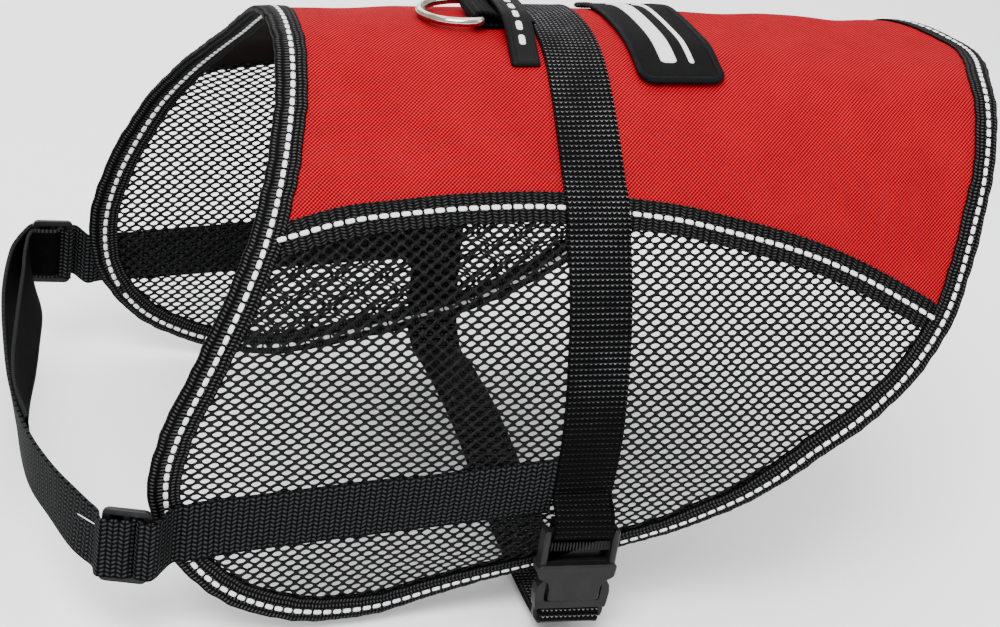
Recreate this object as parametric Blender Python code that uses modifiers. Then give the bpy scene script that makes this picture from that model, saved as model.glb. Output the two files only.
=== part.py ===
"""Dog vest: a red back saddle with net sides, bound edges, webbing straps, a buckle and a D-ring.

The dog faces -X. Z is up, and the near side is at -Y. The origin is on the inside of the back
panel, on the spine, halfway along it. Lengths in the tables and constants are in millimetres.
Every cloth piece is laid on one form, which is given by the girth down each side from the spine.
"""
import math
from collections import namedtuple

import bmesh
import bpy
import numpy as np
from mathutils import Vector

MM = 0.001
NEAR = -1
FAR = 1
GAP = 0.3

# Stock: cloth, tape and webbing.
CLOTH = 1.5
TAPE = 1.0
WEBBING = 1.3
WEBBING_WIDTH = 25.0
BINDING_REACH = 5.9
TRIM_WIDTH = 12.5

# The form: how far the cloth leans from level, at each girth, at a front and a rear section.
FRONT_SECTION_X = -180.0
REAR_SECTION_X = 120.0
Lean = namedtuple("Lean", "girth front_deg rear_deg")
FORM = [
    Lean(0, 0, 0),
    Lean(20, 16, 0),
    Lean(40, 33, 13),
    Lean(60, 35, 38),
    Lean(80, 33, 57),
    Lean(100, 38, 64),
    Lean(120, 50, 64),
    Lean(140, 66, 62),
    Lean(160, 81, 62),
    Lean(180, 90, 67),
    Lean(200, 93, 79),
    Lean(220, 92, 99),
    Lean(240, 87, 126),
    Lean(260, 80, 160),
    Lean(290, 68, 200),
]
SPINE_CREST_X = 21.0
SPINE_BOW = 3.8
SPINE_BOW_AT = 150.0

# The middle line of the edge binding, from the neck down one side and back up to the rump.
Edge = namedtuple("Edge", "x girth")
EDGE_LINE = [
    Edge(-156, 0),
    Edge(-158, 44),
    Edge(-165, 84),
    Edge(-175, 118),
    Edge(-190, 152),
    Edge(-203, 184),
    Edge(-207, 210),
    Edge(-201, 234),
    Edge(-184, 255),
    Edge(-155, 269),
    Edge(-120, 273),
    Edge(-85, 266),
    Edge(-50, 258),
    Edge(-16, 248),
    Edge(21, 230),
    Edge(57, 203),
    Edge(93, 174),
    Edge(117, 142),
    Edge(131, 96),
    Edge(142, 43),
    Edge(152, 15),
    Edge(155, 0),
]
CORNER_GIRTH = 240.0
TAIL_LENGTH = 12.0

# The seam between the back panel and each net panel.
Seam = namedtuple("Seam", "x girth")
SEAM_LINE = [
    Seam(-200, 121),
    Seam(-166, 113),
    Seam(-145, 108),
    Seam(-117, 104.5),
    Seam(-90, 103),
    Seam(-57, 103),
    Seam(-12, 107.5),
    Seam(16, 113),
    Seam(45, 120),
    Seam(70, 128.5),
    Seam(95, 140),
    Seam(130, 158),
]

# Panel edges stay inside the fold of the binding. Trim stops at the binding's inner line.
PANEL_INSET = 3.5
TRIM_INSET = -(BINDING_REACH + 0.4)

# Layers, as heights of a piece's middle above the inside of the cloth.
ON_CLOTH = CLOTH + GAP
TAPE_SLACK = 0.15
TAPE_OUT = ON_CLOTH + TAPE_SLACK + TAPE / 2
TAPE_IN = -GAP - TAPE_SLACK - TAPE / 2
WEB_OUT = ON_CLOTH + WEBBING / 2
WEB_OVER_TAPE = ON_CLOTH + TAPE_SLACK + TAPE + GAP + WEBBING / 2

# Belly strap, buckle and its bars.
STRAP_X = -40.0
STRAP_LEAVES_GIRTH = 221.0
BUCKLE_Y = -129.0
BUCKLE_TOP_Z = -168.5
BUCKLE_WIDTH = 32.0
BUCKLE_OPENING = 26.2
BAR_THICK = 2.4
RAIL_THICK = 7.0
BODY_THICK = 9.6
PLUG_THICK = 5.6
BAR_LIFT = 2.9
TOP_BAR_V = 2.0
PLUG_BAR_V = 41.4

# Chest straps, and the loose webbing round the front.
CHEST_GIRTH = 216.0
CHEST_DROP_NEAR = 0.10
CHEST_DROP_FAR = 0.055
SLIDER_WIDTH = 32.0
SLIDER_LENGTH = 18.8
SLIDER_THICK = 2.4
SLIDER_BAR = 2.6
SLIDER_PITCH = 7.4
SLIDER_SLOT_WIDTH = 26.4
LOOP_LIFT = 2.75

# D-ring, its webbing, the rubber tag and the patch.
RING_BAR_X = -76.0
RING_WIRE = 3.8
RING_INSIDE = 26.4
RING_REACH = 24.5
RING_DROOP_DEG = 5.5
TAG_X = -62.5
TAG_WIDTH = 12.0
TAG_HALF_LENGTH = 39.0
TAG_THICK = 2.2
PATCH_X = 2.25
PATCH_LENGTH = 38.0
PATCH_HALF_GIRTH = 50.0
PATCH_THICK = 1.6
PATCH_CORNER = 6.0
BORDER_WIDTH = 3.4
BORDER_THICK = 2.6


def lean_at(x, girth):
    """Angle in radians, from level, of the cloth at a place along the spine and a girth."""
    girths = [row.girth for row in FORM]
    front = np.interp(girth, girths, [row.front_deg for row in FORM])
    rear = np.interp(girth, girths, [row.rear_deg for row in FORM])
    share = (x - FRONT_SECTION_X) / (REAR_SECTION_X - FRONT_SECTION_X)
    return np.radians(front + share * (rear - front))


GIRTHS = np.arange(0.0, 291.0, 1.0)


def section_table(x):
    """Half width and height of the form at each girth of GIRTHS, for one section."""
    lean = lean_at(x, GIRTHS)
    across = np.cos(lean)
    down = np.sin(lean)
    half_width = np.concatenate([[0.0], np.cumsum((across[1:] + across[:-1]) / 2)])
    height = -np.concatenate([[0.0], np.cumsum((down[1:] + down[:-1]) / 2)])
    return half_width, height


def skin(x, s, out=0.0):
    """Point on the form, in mm: s is the girth, negative on the near side, and out the height over it."""
    side = NEAR if s < 0 else FAR
    girth = abs(s)
    half_width, height = section_table(x)
    lean = float(lean_at(x, girth))
    bow = SPINE_BOW * ((x - SPINE_CREST_X) / SPINE_BOW_AT) ** 2
    y = float(np.interp(girth, GIRTHS, half_width)) + out * math.sin(lean)
    z = float(np.interp(girth, GIRTHS, height)) + out * math.cos(lean) - bow
    return Vector((x, side * y, z))


def smooth_line(rows, step, across_spine=False):
    """Even points, step apart, along a Catmull-Rom curve through the rows."""
    points = [Vector((row.x, row.girth)) for row in rows]
    before, after = points[0] * 2 - points[1], points[-1] * 2 - points[-2]
    if across_spine:
        before, after = Vector((points[1].x, -points[1].y)), Vector((points[-2].x, -points[-2].y))
    ends = [before] + points + [after]
    fine = []
    for a, b, c, d in zip(ends, ends[1:], ends[2:], ends[3:]):
        for part in range(12):
            t = part / 12
            fine.append(0.5 * (2 * b + (c - a) * t + (2 * a - 5 * b + 4 * c - d) * t * t
                               + (3 * b - a - 3 * c + d) * t ** 3))
    fine.append(points[-1])
    return even_points(fine, step)


def even_points(points, step):
    """The same line with its points an even distance apart."""
    lengths = [0.0]
    for a, b in zip(points, points[1:]):
        lengths.append(lengths[-1] + (b - a).length)
    count = max(1, round(lengths[-1] / step))
    wanted = np.linspace(0.0, lengths[-1], count + 1)
    columns = [np.interp(wanted, lengths, [p[axis] for p in points]) for axis in range(len(points[0]))]
    return [Vector(values) for values in zip(*columns)]


def offset_line(points, distance):
    """A line moved outward, which is to the left of its direction from neck to rump."""
    moved = []
    for index, point in enumerate(points):
        ahead = points[min(index + 1, len(points) - 1)] - points[max(index - 1, 0)]
        ahead.normalize()
        moved.append(point + Vector((-ahead.y, ahead.x)) * distance)
    return moved


EDGE_POINTS = smooth_line(EDGE_LINE, 2.0, across_spine=True)
PANEL_EDGE = offset_line(EDGE_POINTS, PANEL_INSET)
SEAM_POINTS = smooth_line(SEAM_LINE, 3.0)


def seam_girth(x):
    return float(np.interp(x, [p.x for p in SEAM_POINTS], [p.y for p in SEAM_POINTS]))


def edge_limits(distance):
    """Two functions of girth: where the edge, moved outward, lies at the front and at the rear."""
    line = offset_line(EDGE_POINTS, distance)
    top = 180.0
    front = []
    for point in line:
        if point.y > top:
            break
        front.append(point)
    rear = []
    for point in reversed(line):
        if point.y > top:
            break
        rear.append(point)

    def front_x(girth):
        return float(np.interp(abs(girth), [p.y for p in front], [p.x for p in front]))

    def rear_x(girth):
        return float(np.interp(abs(girth), [p.y for p in rear], [p.x for p in rear]))

    return front_x, rear_x


def on_band(limits, u, girth_of):
    """Point (x, s) a share u of the way from front to rear on a line of girth that depends on x."""
    front_x, rear_x = limits
    x = 0.0
    for _ in range(8):
        s = girth_of(x)
        x = front_x(s) + (rear_x(s) - front_x(s)) * u
    return x, girth_of(x)


def along(points, share):
    """Point a share of the way along a list of even points."""
    place = share * (len(points) - 1)
    index = min(int(place), len(points) - 2)
    return points[index].lerp(points[index + 1], place - index)


def make_material(name, color, roughness, metallic=0.0):
    material = bpy.data.materials.new(name)
    material.use_nodes = True
    shader = material.node_tree.nodes["Principled BSDF"]
    shader.inputs["Base Color"].default_value = (*color, 1.0)
    shader.inputs["Roughness"].default_value = roughness
    shader.inputs["Metallic"].default_value = metallic
    material.diffuse_color = (*color, 1.0)
    return material


def new_object(name, mesh, material, collection):
    obj = bpy.data.objects.new(name, mesh)
    obj.data.materials.append(material)
    collection.objects.link(obj)
    return obj


def sheet(name, cells, place, thickness, material, collection):
    """A cloth piece: a grid laid by place(u, w), which gives a point in mm, and thickened both ways."""
    bm = bmesh.new()
    bmesh.ops.create_grid(bm, x_segments=cells[0], y_segments=cells[1], size=0.5)
    for vert in bm.verts:
        vert.co = place(vert.co.x + 0.5, vert.co.y + 0.5) * MM
    mesh = bpy.data.meshes.new(name)
    bm.to_mesh(mesh)
    bm.free()
    mesh.shade_smooth()
    obj = new_object(name, mesh, material, collection)
    solid = obj.modifiers.new("thickness", "SOLIDIFY")
    solid.thickness = thickness * MM
    solid.offset = 0.0
    return obj


def back_panel(material, collection):
    """The red saddle, from seam to seam."""
    limits = edge_limits(PANEL_INSET)

    def place(u, w):
        reach = 2 * w - 1
        x, s = on_band(limits, u, lambda at: reach * (seam_girth(at) - GAP / 2))
        return skin(x, s, CLOTH / 2)

    return sheet("back_panel", (14, 34), place, CLOTH, material, collection)


def net_panel(name, side, material, collection):
    """One net side: its top edge follows the seam and the other three follow the vest's edge."""
    limits = edge_limits(PANEL_INSET)
    start = next(i for i, p in enumerate(PANEL_EDGE) if p.y > seam_girth(p.x) + GAP)
    corner = next(i for i, p in enumerate(PANEL_EDGE) if p.y > CORNER_GIRTH)
    last = max(i for i, p in enumerate(PANEL_EDGE) if p.y > seam_girth(p.x) + GAP)
    tail = last - round(TAIL_LENGTH / 2.0)
    left = PANEL_EDGE[start:corner + 1]
    bottom = PANEL_EDGE[corner:tail + 1]
    right = list(reversed(PANEL_EDGE[tail:last + 1]))

    def top_point(u):
        x, s = on_band(limits, u, lambda at: seam_girth(at) + GAP / 2)
        return Vector((x, s))

    def place(u, w):
        top, low = top_point(u), along(bottom, u)
        fore, aft = along(left, w), along(right, w)
        corners = (top_point(0.0) * (1 - u) + top_point(1.0) * u) * (1 - w)
        corners += (bottom[0] * (1 - u) + bottom[-1] * u) * w
        flat = top * (1 - w) + low * w + fore * (1 - u) + aft * u - corners
        return skin(flat.x, side * flat.y, CLOTH / 2)

    return sheet(name, (22, 16), place, CLOTH, material, collection)


def edge_ring():
    """Points (x, s) of the binding's middle line, all round, from the neck down the near side."""
    near = [Vector((p.x, -p.y)) for p in EDGE_POINTS]
    far = [Vector((p.x, p.y)) for p in reversed(EDGE_POINTS[1:-1])]
    return near + far


# The binding's section: distance from its middle line towards the edge, and height of its middle.
BINDING_SECTION = [
    (-BINDING_REACH, TAPE_OUT),
    (4.9, TAPE_OUT),
    (5.5, CLOTH / 2),
    (4.9, TAPE_IN),
    (-BINDING_REACH, TAPE_IN),
]


def binding(name, first, last, material, collection):
    """A stretch of binding, folded over the edge, between two places on the ring of edge points."""
    ring = edge_ring()
    count = len(ring)
    cells = max(2, round((last - first) * 2.0 / 9.5))

    def place(u, w):
        spot = first + (last - first) * u
        low = math.floor(spot)
        here = ring[low % count].lerp(ring[(low + 1) % count], spot - low)
        ahead = ring[(low + 2) % count] - ring[(low - 1) % count]
        ahead.normalize()
        reach, out = BINDING_SECTION[round(w * (len(BINDING_SECTION) - 1))]
        flat = here + Vector((ahead.y, -ahead.x)) * reach
        return skin(flat.x, flat.y, out)

    return sheet(name, (cells, len(BINDING_SECTION) - 1), place, TAPE, material, collection)


def bindings(material, collection):
    """Four stretches: over the neck, along each hem and over the rump."""
    corner = next(i for i, p in enumerate(EDGE_POINTS) if p.y > CORNER_GIRTH)
    rump = max(i for i, p in enumerate(EDGE_POINTS) if p.y > 150.0)
    count = 2 * (len(EDGE_POINTS) - 1)
    part = GAP / 2 / 2.0
    binding("binding_neck", -corner + part, corner - part, material, collection)
    binding("binding_hem_near", corner + part, rump - part, material, collection)
    binding("binding_rump", rump + part, count - rump - part, material, collection)
    binding("binding_hem_far", count - rump + part, count - corner - part, material, collection)


def trim(name, side, material, collection):
    """Tape over the seam between the back panel and one net panel."""
    limits = edge_limits(TRIM_INSET)

    def place(u, w):
        x, s = on_band(limits, u, lambda at: seam_girth(at) + (w - 0.5) * TRIM_WIDTH)
        return skin(x, side * s, TAPE_OUT)

    return sheet(name, (28, 2), place, TAPE, material, collection)


def ramp(value, start, end):
    """0 before start, 1 after end, and an eased rise between."""
    share = min(1.0, max(0.0, (value - start) / (end - start)))
    return share * share * (3 - 2 * share)


def web_height(x, s):
    """Height of the middle of sewn webbing: it rises over the trim and over the binding."""
    spot = Vector((x, abs(s)))
    from_edge = min((spot - point).length for point in EDGE_POINTS)
    from_seam = abs(abs(s) - seam_girth(x))
    over = 1 - ramp(min(from_edge, from_seam), 10.0, 16.0)
    return WEB_OUT + (WEB_OVER_TAPE - WEB_OUT) * over


def hem_girth(x):
    """Girth of the binding's middle line along the hem."""
    hem = [p for p in EDGE_POINTS if p.y > 175.0 and p.x > -190.0]
    return float(np.interp(x, [p.x for p in hem], [p.y for p in hem]))


def arc(center, radius, start_deg, end_deg, count):
    """Points (a, n) on an arc."""
    points = []
    for index in range(count + 1):
        angle = math.radians(start_deg + (end_deg - start_deg) * index / count)
        points.append((center[0] + radius * math.cos(angle), center[1] + radius * math.sin(angle)))
    return points


def belly_path():
    """The belly strap's middle line as functions of x: on the form by girth, and free as (y, z)."""
    path = []
    front_y = BUCKLE_Y - BAR_LIFT
    rear_y = BUCKLE_Y + BAR_LIFT
    top_z = BUCKLE_TOP_Z - TOP_BAR_V
    plug_z = BUCKLE_TOP_Z - PLUG_BAR_V
    path += [(rear_y, top_z + 5.0), (rear_y, top_z + 2.0)]
    path += arc((BUCKLE_Y, top_z), BAR_LIFT, 0, -180, 6)
    path.append((front_y, top_z + 3.0))
    path.append((front_y + 1.5, top_z + 7.5))
    free_top = [("free", y, z) for y, z in path]
    down = np.arange(STRAP_LEAVES_GIRTH, 0.0, -6.5)
    on_near = [("skin", -float(g), 0.0) for g in down]
    far_end = hem_girth(STRAP_X) + 12.0
    up = np.linspace(0.0, far_end, 42)
    on_far = [("skin", float(g), 0.0) for g in up]
    under = [
        (99.0, -205.0),
        (78.0, -203.0),
        (52.0, -202.0),
        (26.0, -202.3),
        (0.0, -204.8),
        (-26.0, -208.6),
        (-50.0, -211.8),
        (-76.0, -213.8),
        (-100.0, -214.3),
        (-116.0, -214.0),
    ]
    loop = arc((BUCKLE_Y, plug_z), BAR_LIFT, -90, -345, 9)
    tail = [
        (rear_y + 0.8, plug_z - 1.0),
        (rear_y + 3.2, plug_z - 1.8),
        (rear_y + 8.0, plug_z - 2.0),
        (rear_y + 22.0, plug_z - 1.9),
    ]
    free_low = [("free", y, z) for y, z in under + loop + tail]
    return free_top + on_near + on_far + free_low


def belly_strap(material, collection):
    path = belly_path()

    def place(u, w):
        kind, first, second = path[round(u * (len(path) - 1))]
        x = STRAP_X + (w - 0.5) * WEBBING_WIDTH
        if kind == "skin":
            return skin(x, first, web_height(x, first))
        return Vector((x, first, second))

    return sheet("belly_strap", (len(path) - 1, 2), place, WEBBING, material, collection)


def plate(name, outline, holes, thickness, material, collection):
    """A flat plate in its own XY plane, from an outline and holes in mm, as a mesh about z = 0."""
    curve = bpy.data.curves.new(name, "CURVE")
    curve.dimensions = "2D"
    curve.fill_mode = "BOTH"
    curve.extrude = thickness * MM / 2
    for ring in [outline] + holes:
        spline = curve.splines.new("POLY")
        spline.points.add(len(ring) - 1)
        for point, (x, y) in zip(spline.points, ring):
            point.co = (x * MM, y * MM, 0.0, 1.0)
        spline.use_cyclic_u = True
    holder = bpy.data.objects.new(name, curve)
    collection.objects.link(holder)
    bpy.context.view_layer.update()
    shape = holder.evaluated_get(bpy.context.evaluated_depsgraph_get())
    mesh = bpy.data.meshes.new_from_object(shape)
    bpy.data.objects.remove(holder)
    bpy.data.curves.remove(curve)
    bm = bmesh.new()
    bm.from_mesh(mesh)
    bmesh.ops.remove_doubles(bm, verts=bm.verts, dist=0.00001)
    bm.to_mesh(mesh)
    bm.free()
    mesh.name = name
    mesh.materials.clear()
    return new_object(name, mesh, material, collection)


def rounded_box(half_x, half_y, radius, center=(0.0, 0.0), steps=3):
    """Outline of a rectangle with round corners."""
    points = []
    for corner, (sx, sy) in enumerate(((1, 1), (-1, 1), (-1, -1), (1, -1))):
        middle = (center[0] + sx * (half_x - radius), center[1] + sy * (half_y - radius))
        points += arc(middle, radius, corner * 90, corner * 90 + 90, steps)
    return points


def mirrored(points):
    """An outline from its right half, listed from bottom to top."""
    return points + [(-x, y) for x, y in reversed(points)]


def add_bevel(obj, width):
    """Rounded edges."""
    bevel = obj.modifiers.new("edges", "BEVEL")
    bevel.width = width * MM
    bevel.segments = 1
    bevel.limit_method = "ANGLE"
    bevel.angle_limit = math.radians(50)


def cut(obj, cutter, operation="DIFFERENCE"):
    boolean = obj.modifiers.new(operation.lower(), "BOOLEAN")
    boolean.operation = operation
    boolean.object = cutter
    boolean.solver = "EXACT"


def box(name, size, center, material, collection):
    bm = bmesh.new()
    bmesh.ops.create_cube(bm, size=1.0)
    for vert in bm.verts:
        vert.co = Vector([(vert.co[i] * size[i] + center[i]) * MM for i in range(3)])
    mesh = bpy.data.meshes.new(name)
    bm.to_mesh(mesh)
    bm.free()
    return new_object(name, mesh, material, collection)


def stand_up(obj):
    """Turns a plate drawn in XY so that its y is up and its z is towards the near side."""
    obj.rotation_euler = (math.radians(90), 0.0, 0.0)
    obj.location = Vector((STRAP_X, BUCKLE_Y, BUCKLE_TOP_Z)) * MM


def as_cutter(obj):
    obj.hide_render = True
    obj.display_type = "WIRE"


def buckle_socket(material, collection, cutters):
    """Upper half: an open frame with two bars over a hollow body whose waist bares the plug's arms."""
    half = BUCKLE_WIDTH / 2
    opening = BUCKLE_OPENING / 2
    outline = mirrored([(half - 1.4, -18.4), (half - 0.2, -17.0), (half - 0.2, -2.0), (half - 1.6, -0.5)])
    slots = [
        mirrored([(opening, -6.2), (opening, -3.5)]),
        mirrored([(opening, -15.4), (opening, -10.4)]),
    ]
    socket = plate("buckle_socket", outline, slots, BAR_THICK, material, collection)
    body_outline = mirrored([(10.2, -32.9), (10.9, -31.6), (10.9, -26.7), (11.8, -24.4), (half + 0.3, -21.7),
                             (half + 0.7, -17.4), (half + 0.3, -15.8)])
    body = plate("socket_body", body_outline, [], BODY_THICK, material, cutters)
    add_bevel(body, 0.8)
    rails = []
    for sign in (-1, 1):
        middle = sign * (half + opening + 0.1) / 2
        rail = box("socket_rail", (half - opening - 0.1, 17.0, RAIL_THICK), (middle, -9.0, 0), material, cutters)
        add_bevel(rail, 0.7)
        rails.append(rail)
    throat = box("socket_throat", (19.0, 20.0, PLUG_THICK + 0.8), (0, -30.0, 0), material, cutters)
    window = box("socket_window", (40.0, 6.4, PLUG_THICK + 0.8), (0, -23.4, 0), material, cutters)
    for obj in [socket, body, throat, window] + rails:
        stand_up(obj)
    for obj in [body, throat, window] + rails:
        as_cutter(obj)
    for obj in [body] + rails:
        cut(socket, obj, "UNION")
    cut(socket, throat)
    cut(socket, window)
    return socket


def buckle_plug(material, collection, cutters):
    """Lower half: a slotted base with a tongue and two arms that bow out past the socket's waist."""
    opening = BUCKLE_OPENING / 2
    base = [(12.0, -43.0), (14.4, -42.4), (15.0, -40.6), (15.0, -36.0)]
    slot = mirrored([(opening - 0.1, -39.9), (opening - 0.1, -37.4)])
    plug = plate("buckle_plug", mirrored(base), [slot], BAR_THICK, material, collection)
    right = [(15.0, -37.1), (15.4, -35.6), (15.9, -30.0), (15.4, -26.6), (13.9, -24.0), (12.2, -21.2),
             (10.9, -21.2), (11.6, -24.6), (12.0, -27.4), (12.0, -32.4), (11.4, -33.6), (4.2, -33.6),
             (3.6, -32.6), (3.4, -22.4)]
    arms = plate("plug_arms", mirrored(right), [], PLUG_THICK, material, cutters)
    stand_up(plug)
    stand_up(arms)
    as_cutter(arms)
    cut(plug, arms, "UNION")
    return plug


def slider_frame(side):
    """Origin, forward, up and outward directions of the slider on one side."""
    if side == NEAR:
        turn = math.radians(14)
        origin = Vector((-221.5, -126.4, -174.5))
    else:
        turn = math.radians(0)
        origin = Vector((-231.0, 122.0, -165.5))
    forward = Vector((-math.cos(turn), -side * math.sin(turn), 0.0))
    outward = Vector((-math.sin(turn), side * math.cos(turn), 0.0))
    return origin, forward, Vector((0, 0, 1)), outward


def in_slider(side, a, b, n):
    """A point from its places along, across and above a slider."""
    origin, forward, up, outward = slider_frame(side)
    return origin + forward * a + up * b + outward * n


def slider(name, side, material, collection):
    """Three bars joined by two rails. Its x is across the webbing and its y along it."""
    edge = SLIDER_LENGTH / 2
    half_slot = SLIDER_SLOT_WIDTH / 2
    slots = []
    for middle in (-SLIDER_PITCH / 2, SLIDER_PITCH / 2):
        reach = (SLIDER_PITCH - SLIDER_BAR) / 2
        slots.append(mirrored([(half_slot, middle - reach), (half_slot, middle + reach)]))
    obj = plate(name, rounded_box(SLIDER_WIDTH / 2, edge, 2.6), slots, SLIDER_THICK, material, collection)
    origin, forward, up, outward = slider_frame(side)
    matrix = obj.matrix_world.copy()
    across = up if side == NEAR else -up
    for row in range(3):
        matrix[row][0] = across[row]
        matrix[row][1] = forward[row]
        matrix[row][2] = across.cross(forward)[row]
        matrix[row][3] = origin[row] * MM
    obj.matrix_world = matrix
    return obj


def chest_girth(side, x):
    drop = CHEST_DROP_NEAR if side == NEAR else CHEST_DROP_FAR
    return CHEST_GIRTH + drop * (STRAP_X - WEBBING_WIDTH / 2 - x)


def chest_strap(name, side, material, collection):
    """Webbing sewn on the net from the belly strap forward, over the binding and round a slider's bar."""
    start = STRAP_X - WEBBING_WIDTH / 2 - GAP
    end = -203.0 if side == NEAR else -214.0
    path = [("skin", float(x), 0.0) for x in np.linspace(start, end, 26)]
    bar = -SLIDER_PITCH
    path.append(("slider", bar - 4.0, LOOP_LIFT - 1.2))
    path += [("slider", a, n) for a, n in arc((bar, 0.0), LOOP_LIFT, 100, -90, 8)]
    path.append(("slider", bar - 2.0, -LOOP_LIFT + 0.2))

    def place(u, w):
        kind, first, second = path[round(u * (len(path) - 1))]
        across = (w - 0.5) * WEBBING_WIDTH
        if kind == "skin":
            s = side * (chest_girth(side, first) + across)
            return skin(first, s, web_height(first, s))
        return in_slider(side, first, -across, second)

    return sheet(name, (len(path) - 1, 3), place, WEBBING, material, collection)


# The loose webbing's route in plan, from the near slider round the chest to the far slider.
Turn = namedtuple("Turn", "x y")
CHEST_ROUTE = [
    Turn(-232.0, -120.5),
    Turn(-238.5, -108.0),
    Turn(-246.0, -88.0),
    Turn(-253.2, -62.0),
    Turn(-257.0, -26.0),
    Turn(-257.0, 20.0),
    Turn(-254.0, 62.0),
    Turn(-249.5, 98.0),
    Turn(-245.5, 114.0),
]
INNER_TAIL = [
    Turn(-242.5, 112.0),
    Turn(-242.5, 96.0),
    Turn(-243.0, 76.0),
    Turn(-246.0, 50.0),
    Turn(-249.6, 20.0),
    Turn(-252.6, -8.0),
    Turn(-253.6, -32.0),
    Turn(-251.9, -56.0),
]


def slider_fold():
    """Places (a, n) of the loose webbing where it folds round a slider's middle bar."""
    ends = (SLIDER_PITCH + 2.2, SLIDER_PITCH - 2.2)
    fold = [(a, LOOP_LIFT) for a in ends]
    fold += arc((0.0, 0.0), LOOP_LIFT, 90, 270, 8)
    fold += [(a, -LOOP_LIFT) for a in reversed(ends)]
    return fold


def chest_loop(material, collection):
    """The loose webbing: folded round both sliders, its tail lying inside the far stretch."""
    route = [in_slider(NEAR, a, 0.0, n) for a, n in reversed(slider_fold())]
    near_z = route[0].z
    far_z = in_slider(FAR, 0, 0, 0).z
    run = smooth_plan(CHEST_ROUTE, 9.0)
    tail = smooth_plan(INNER_TAIL, 9.0)
    for index, point in enumerate(run):
        share = index / (len(run) - 1)
        route.append(Vector((point.x, point.y, near_z + (far_z - near_z) * share)))
    route += [in_slider(FAR, a, 0.0, n) for a, n in slider_fold()]
    for index, point in enumerate(tail):
        drop = 3.0 * index / (len(tail) - 1)
        route.append(Vector((point.x, point.y, far_z - drop)))

    def place(u, w):
        center = route[round(u * (len(route) - 1))]
        return center + Vector((0, 0, (w - 0.5) * WEBBING_WIDTH))

    return sheet("chest_loop", (len(route) - 1, 1), place, WEBBING, material, collection)


def smooth_plan(rows, step):
    """Even points along a smooth curve through places in plan."""
    return smooth_line([Edge(row.x, row.y) for row in rows], step)


def ring_axis():
    """Middle of the D-ring's bar, in mm."""
    lift = WEB_OUT + WEBBING / 2 + GAP + RING_WIRE / 2
    return skin(RING_BAR_X, 0.0, lift)


def d_ring(material, collection):
    """A wire D that lies towards the neck, with its origin on the middle of its bar."""
    half = (RING_INSIDE + RING_WIRE) / 2
    shoulder = 5.0
    depth = RING_REACH - RING_WIRE / 2
    points = [(0.0, y) for y in np.linspace(-half + 1.6, half - 1.6, 4)]
    points += arc((-1.6, half - 1.6), 1.6, 45, 90, 1)
    for angle in np.linspace(90, -90, 15):
        turn = math.radians(angle)
        points.append((-shoulder - (depth - shoulder) * math.cos(turn), half * math.sin(turn)))
    points += arc((-1.6, -half + 1.6), 1.6, -90, -45, 1)
    curve = bpy.data.curves.new("d_ring", "CURVE")
    curve.dimensions = "3D"
    curve.bevel_depth = RING_WIRE * MM / 2
    curve.bevel_resolution = 2
    spline = curve.splines.new("POLY")
    spline.points.add(len(points) - 1)
    for point, (x, y) in zip(spline.points, points):
        point.co = (x * MM, y * MM, 0.0, 1.0)
    spline.use_cyclic_u = True
    obj = bpy.data.objects.new("d_ring", curve)
    curve.materials.append(material)
    obj.location = ring_axis() * MM
    obj.rotation_euler = (0.0, math.radians(-RING_DROOP_DEG), 0.0)
    collection.objects.link(obj)
    return obj


def ring_webbing(material, collection):
    """Short webbing that runs out from under the tag, round the D-ring's bar and back."""
    axis = ring_axis()
    lift = RING_WIRE / 2 + GAP + WEBBING / 2
    end = STRAP_X - WEBBING_WIDTH / 2 - GAP - 0.1
    low = axis.z - lift
    high = axis.z + lift
    lower = [(end, low + 0.9), (end - 6.0, low + 0.6), (end - 12.0, low + 0.4), (end - 18.0, low)]
    upper = [(end - 18.0, high - 0.6), (end - 14.5, low + 3.4), (end - 10.0, low + 2.3), (end, low + 2.6)]
    path = lower + arc((axis.x, axis.z), lift, -90, -270, 8) + upper

    def place(u, w):
        x, z = path[round(u * (len(path) - 1))]
        return Vector((x, (w - 0.5) * WEBBING_WIDTH, z))

    return sheet("ring_webbing", (len(path) - 1, 2), place, WEBBING, material, collection)


def rubber_tag(material, collection):
    """A moulded bar laid over the ring's webbing and sewn down at both ends."""
    high = WEB_OUT + 5.4 + TAG_THICK / 2
    low = ON_CLOTH + TAG_THICK / 2

    def place(u, w):
        s = (2 * u - 1) * TAG_HALF_LENGTH
        out = high + (low - high) * ramp(abs(s), 15.0, 26.0)
        return skin(TAG_X + (w - 0.5) * TAG_WIDTH, s, out)

    return sheet("rubber_tag", (24, 2), place, TAG_THICK, material, collection)


def patch_point(along_x, s, out):
    """A point over the back at the patch, whose edges lift a little off the cloth."""
    lift = 0.9 * ramp(abs(s), PATCH_HALF_GIRTH - 14, PATCH_HALF_GIRTH)
    return skin(PATCH_X + along_x, s, ON_CLOTH + out + lift)


def squared_round(u, w, half_x, half_s, corner):
    """Maps a unit square to a rectangle with round corners."""
    x, s = (2 * u - 1) * half_x, (2 * w - 1) * half_s
    over_x = abs(x) - (half_x - corner)
    over_s = abs(s) - (half_s - corner)
    if over_x > 0 and over_s > 0:
        largest = max(over_x, over_s)
        pull = largest / math.hypot(over_x, over_s)
        x = math.copysign(half_x - corner + over_x * pull, x)
        s = math.copysign(half_s - corner + over_s * pull, s)
    return x, s


def patch(material, collection):
    """The badge's cloth, inside its border."""
    half_x = PATCH_LENGTH / 2 - BORDER_WIDTH - GAP
    half_s = PATCH_HALF_GIRTH - BORDER_WIDTH - GAP

    def place(u, w):
        x, s = squared_round(u, w, half_x, half_s, PATCH_CORNER - 2.0)
        return patch_point(x, s, PATCH_THICK / 2 + 0.4)

    return sheet("patch", (8, 20), place, PATCH_THICK, material, collection)


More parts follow.
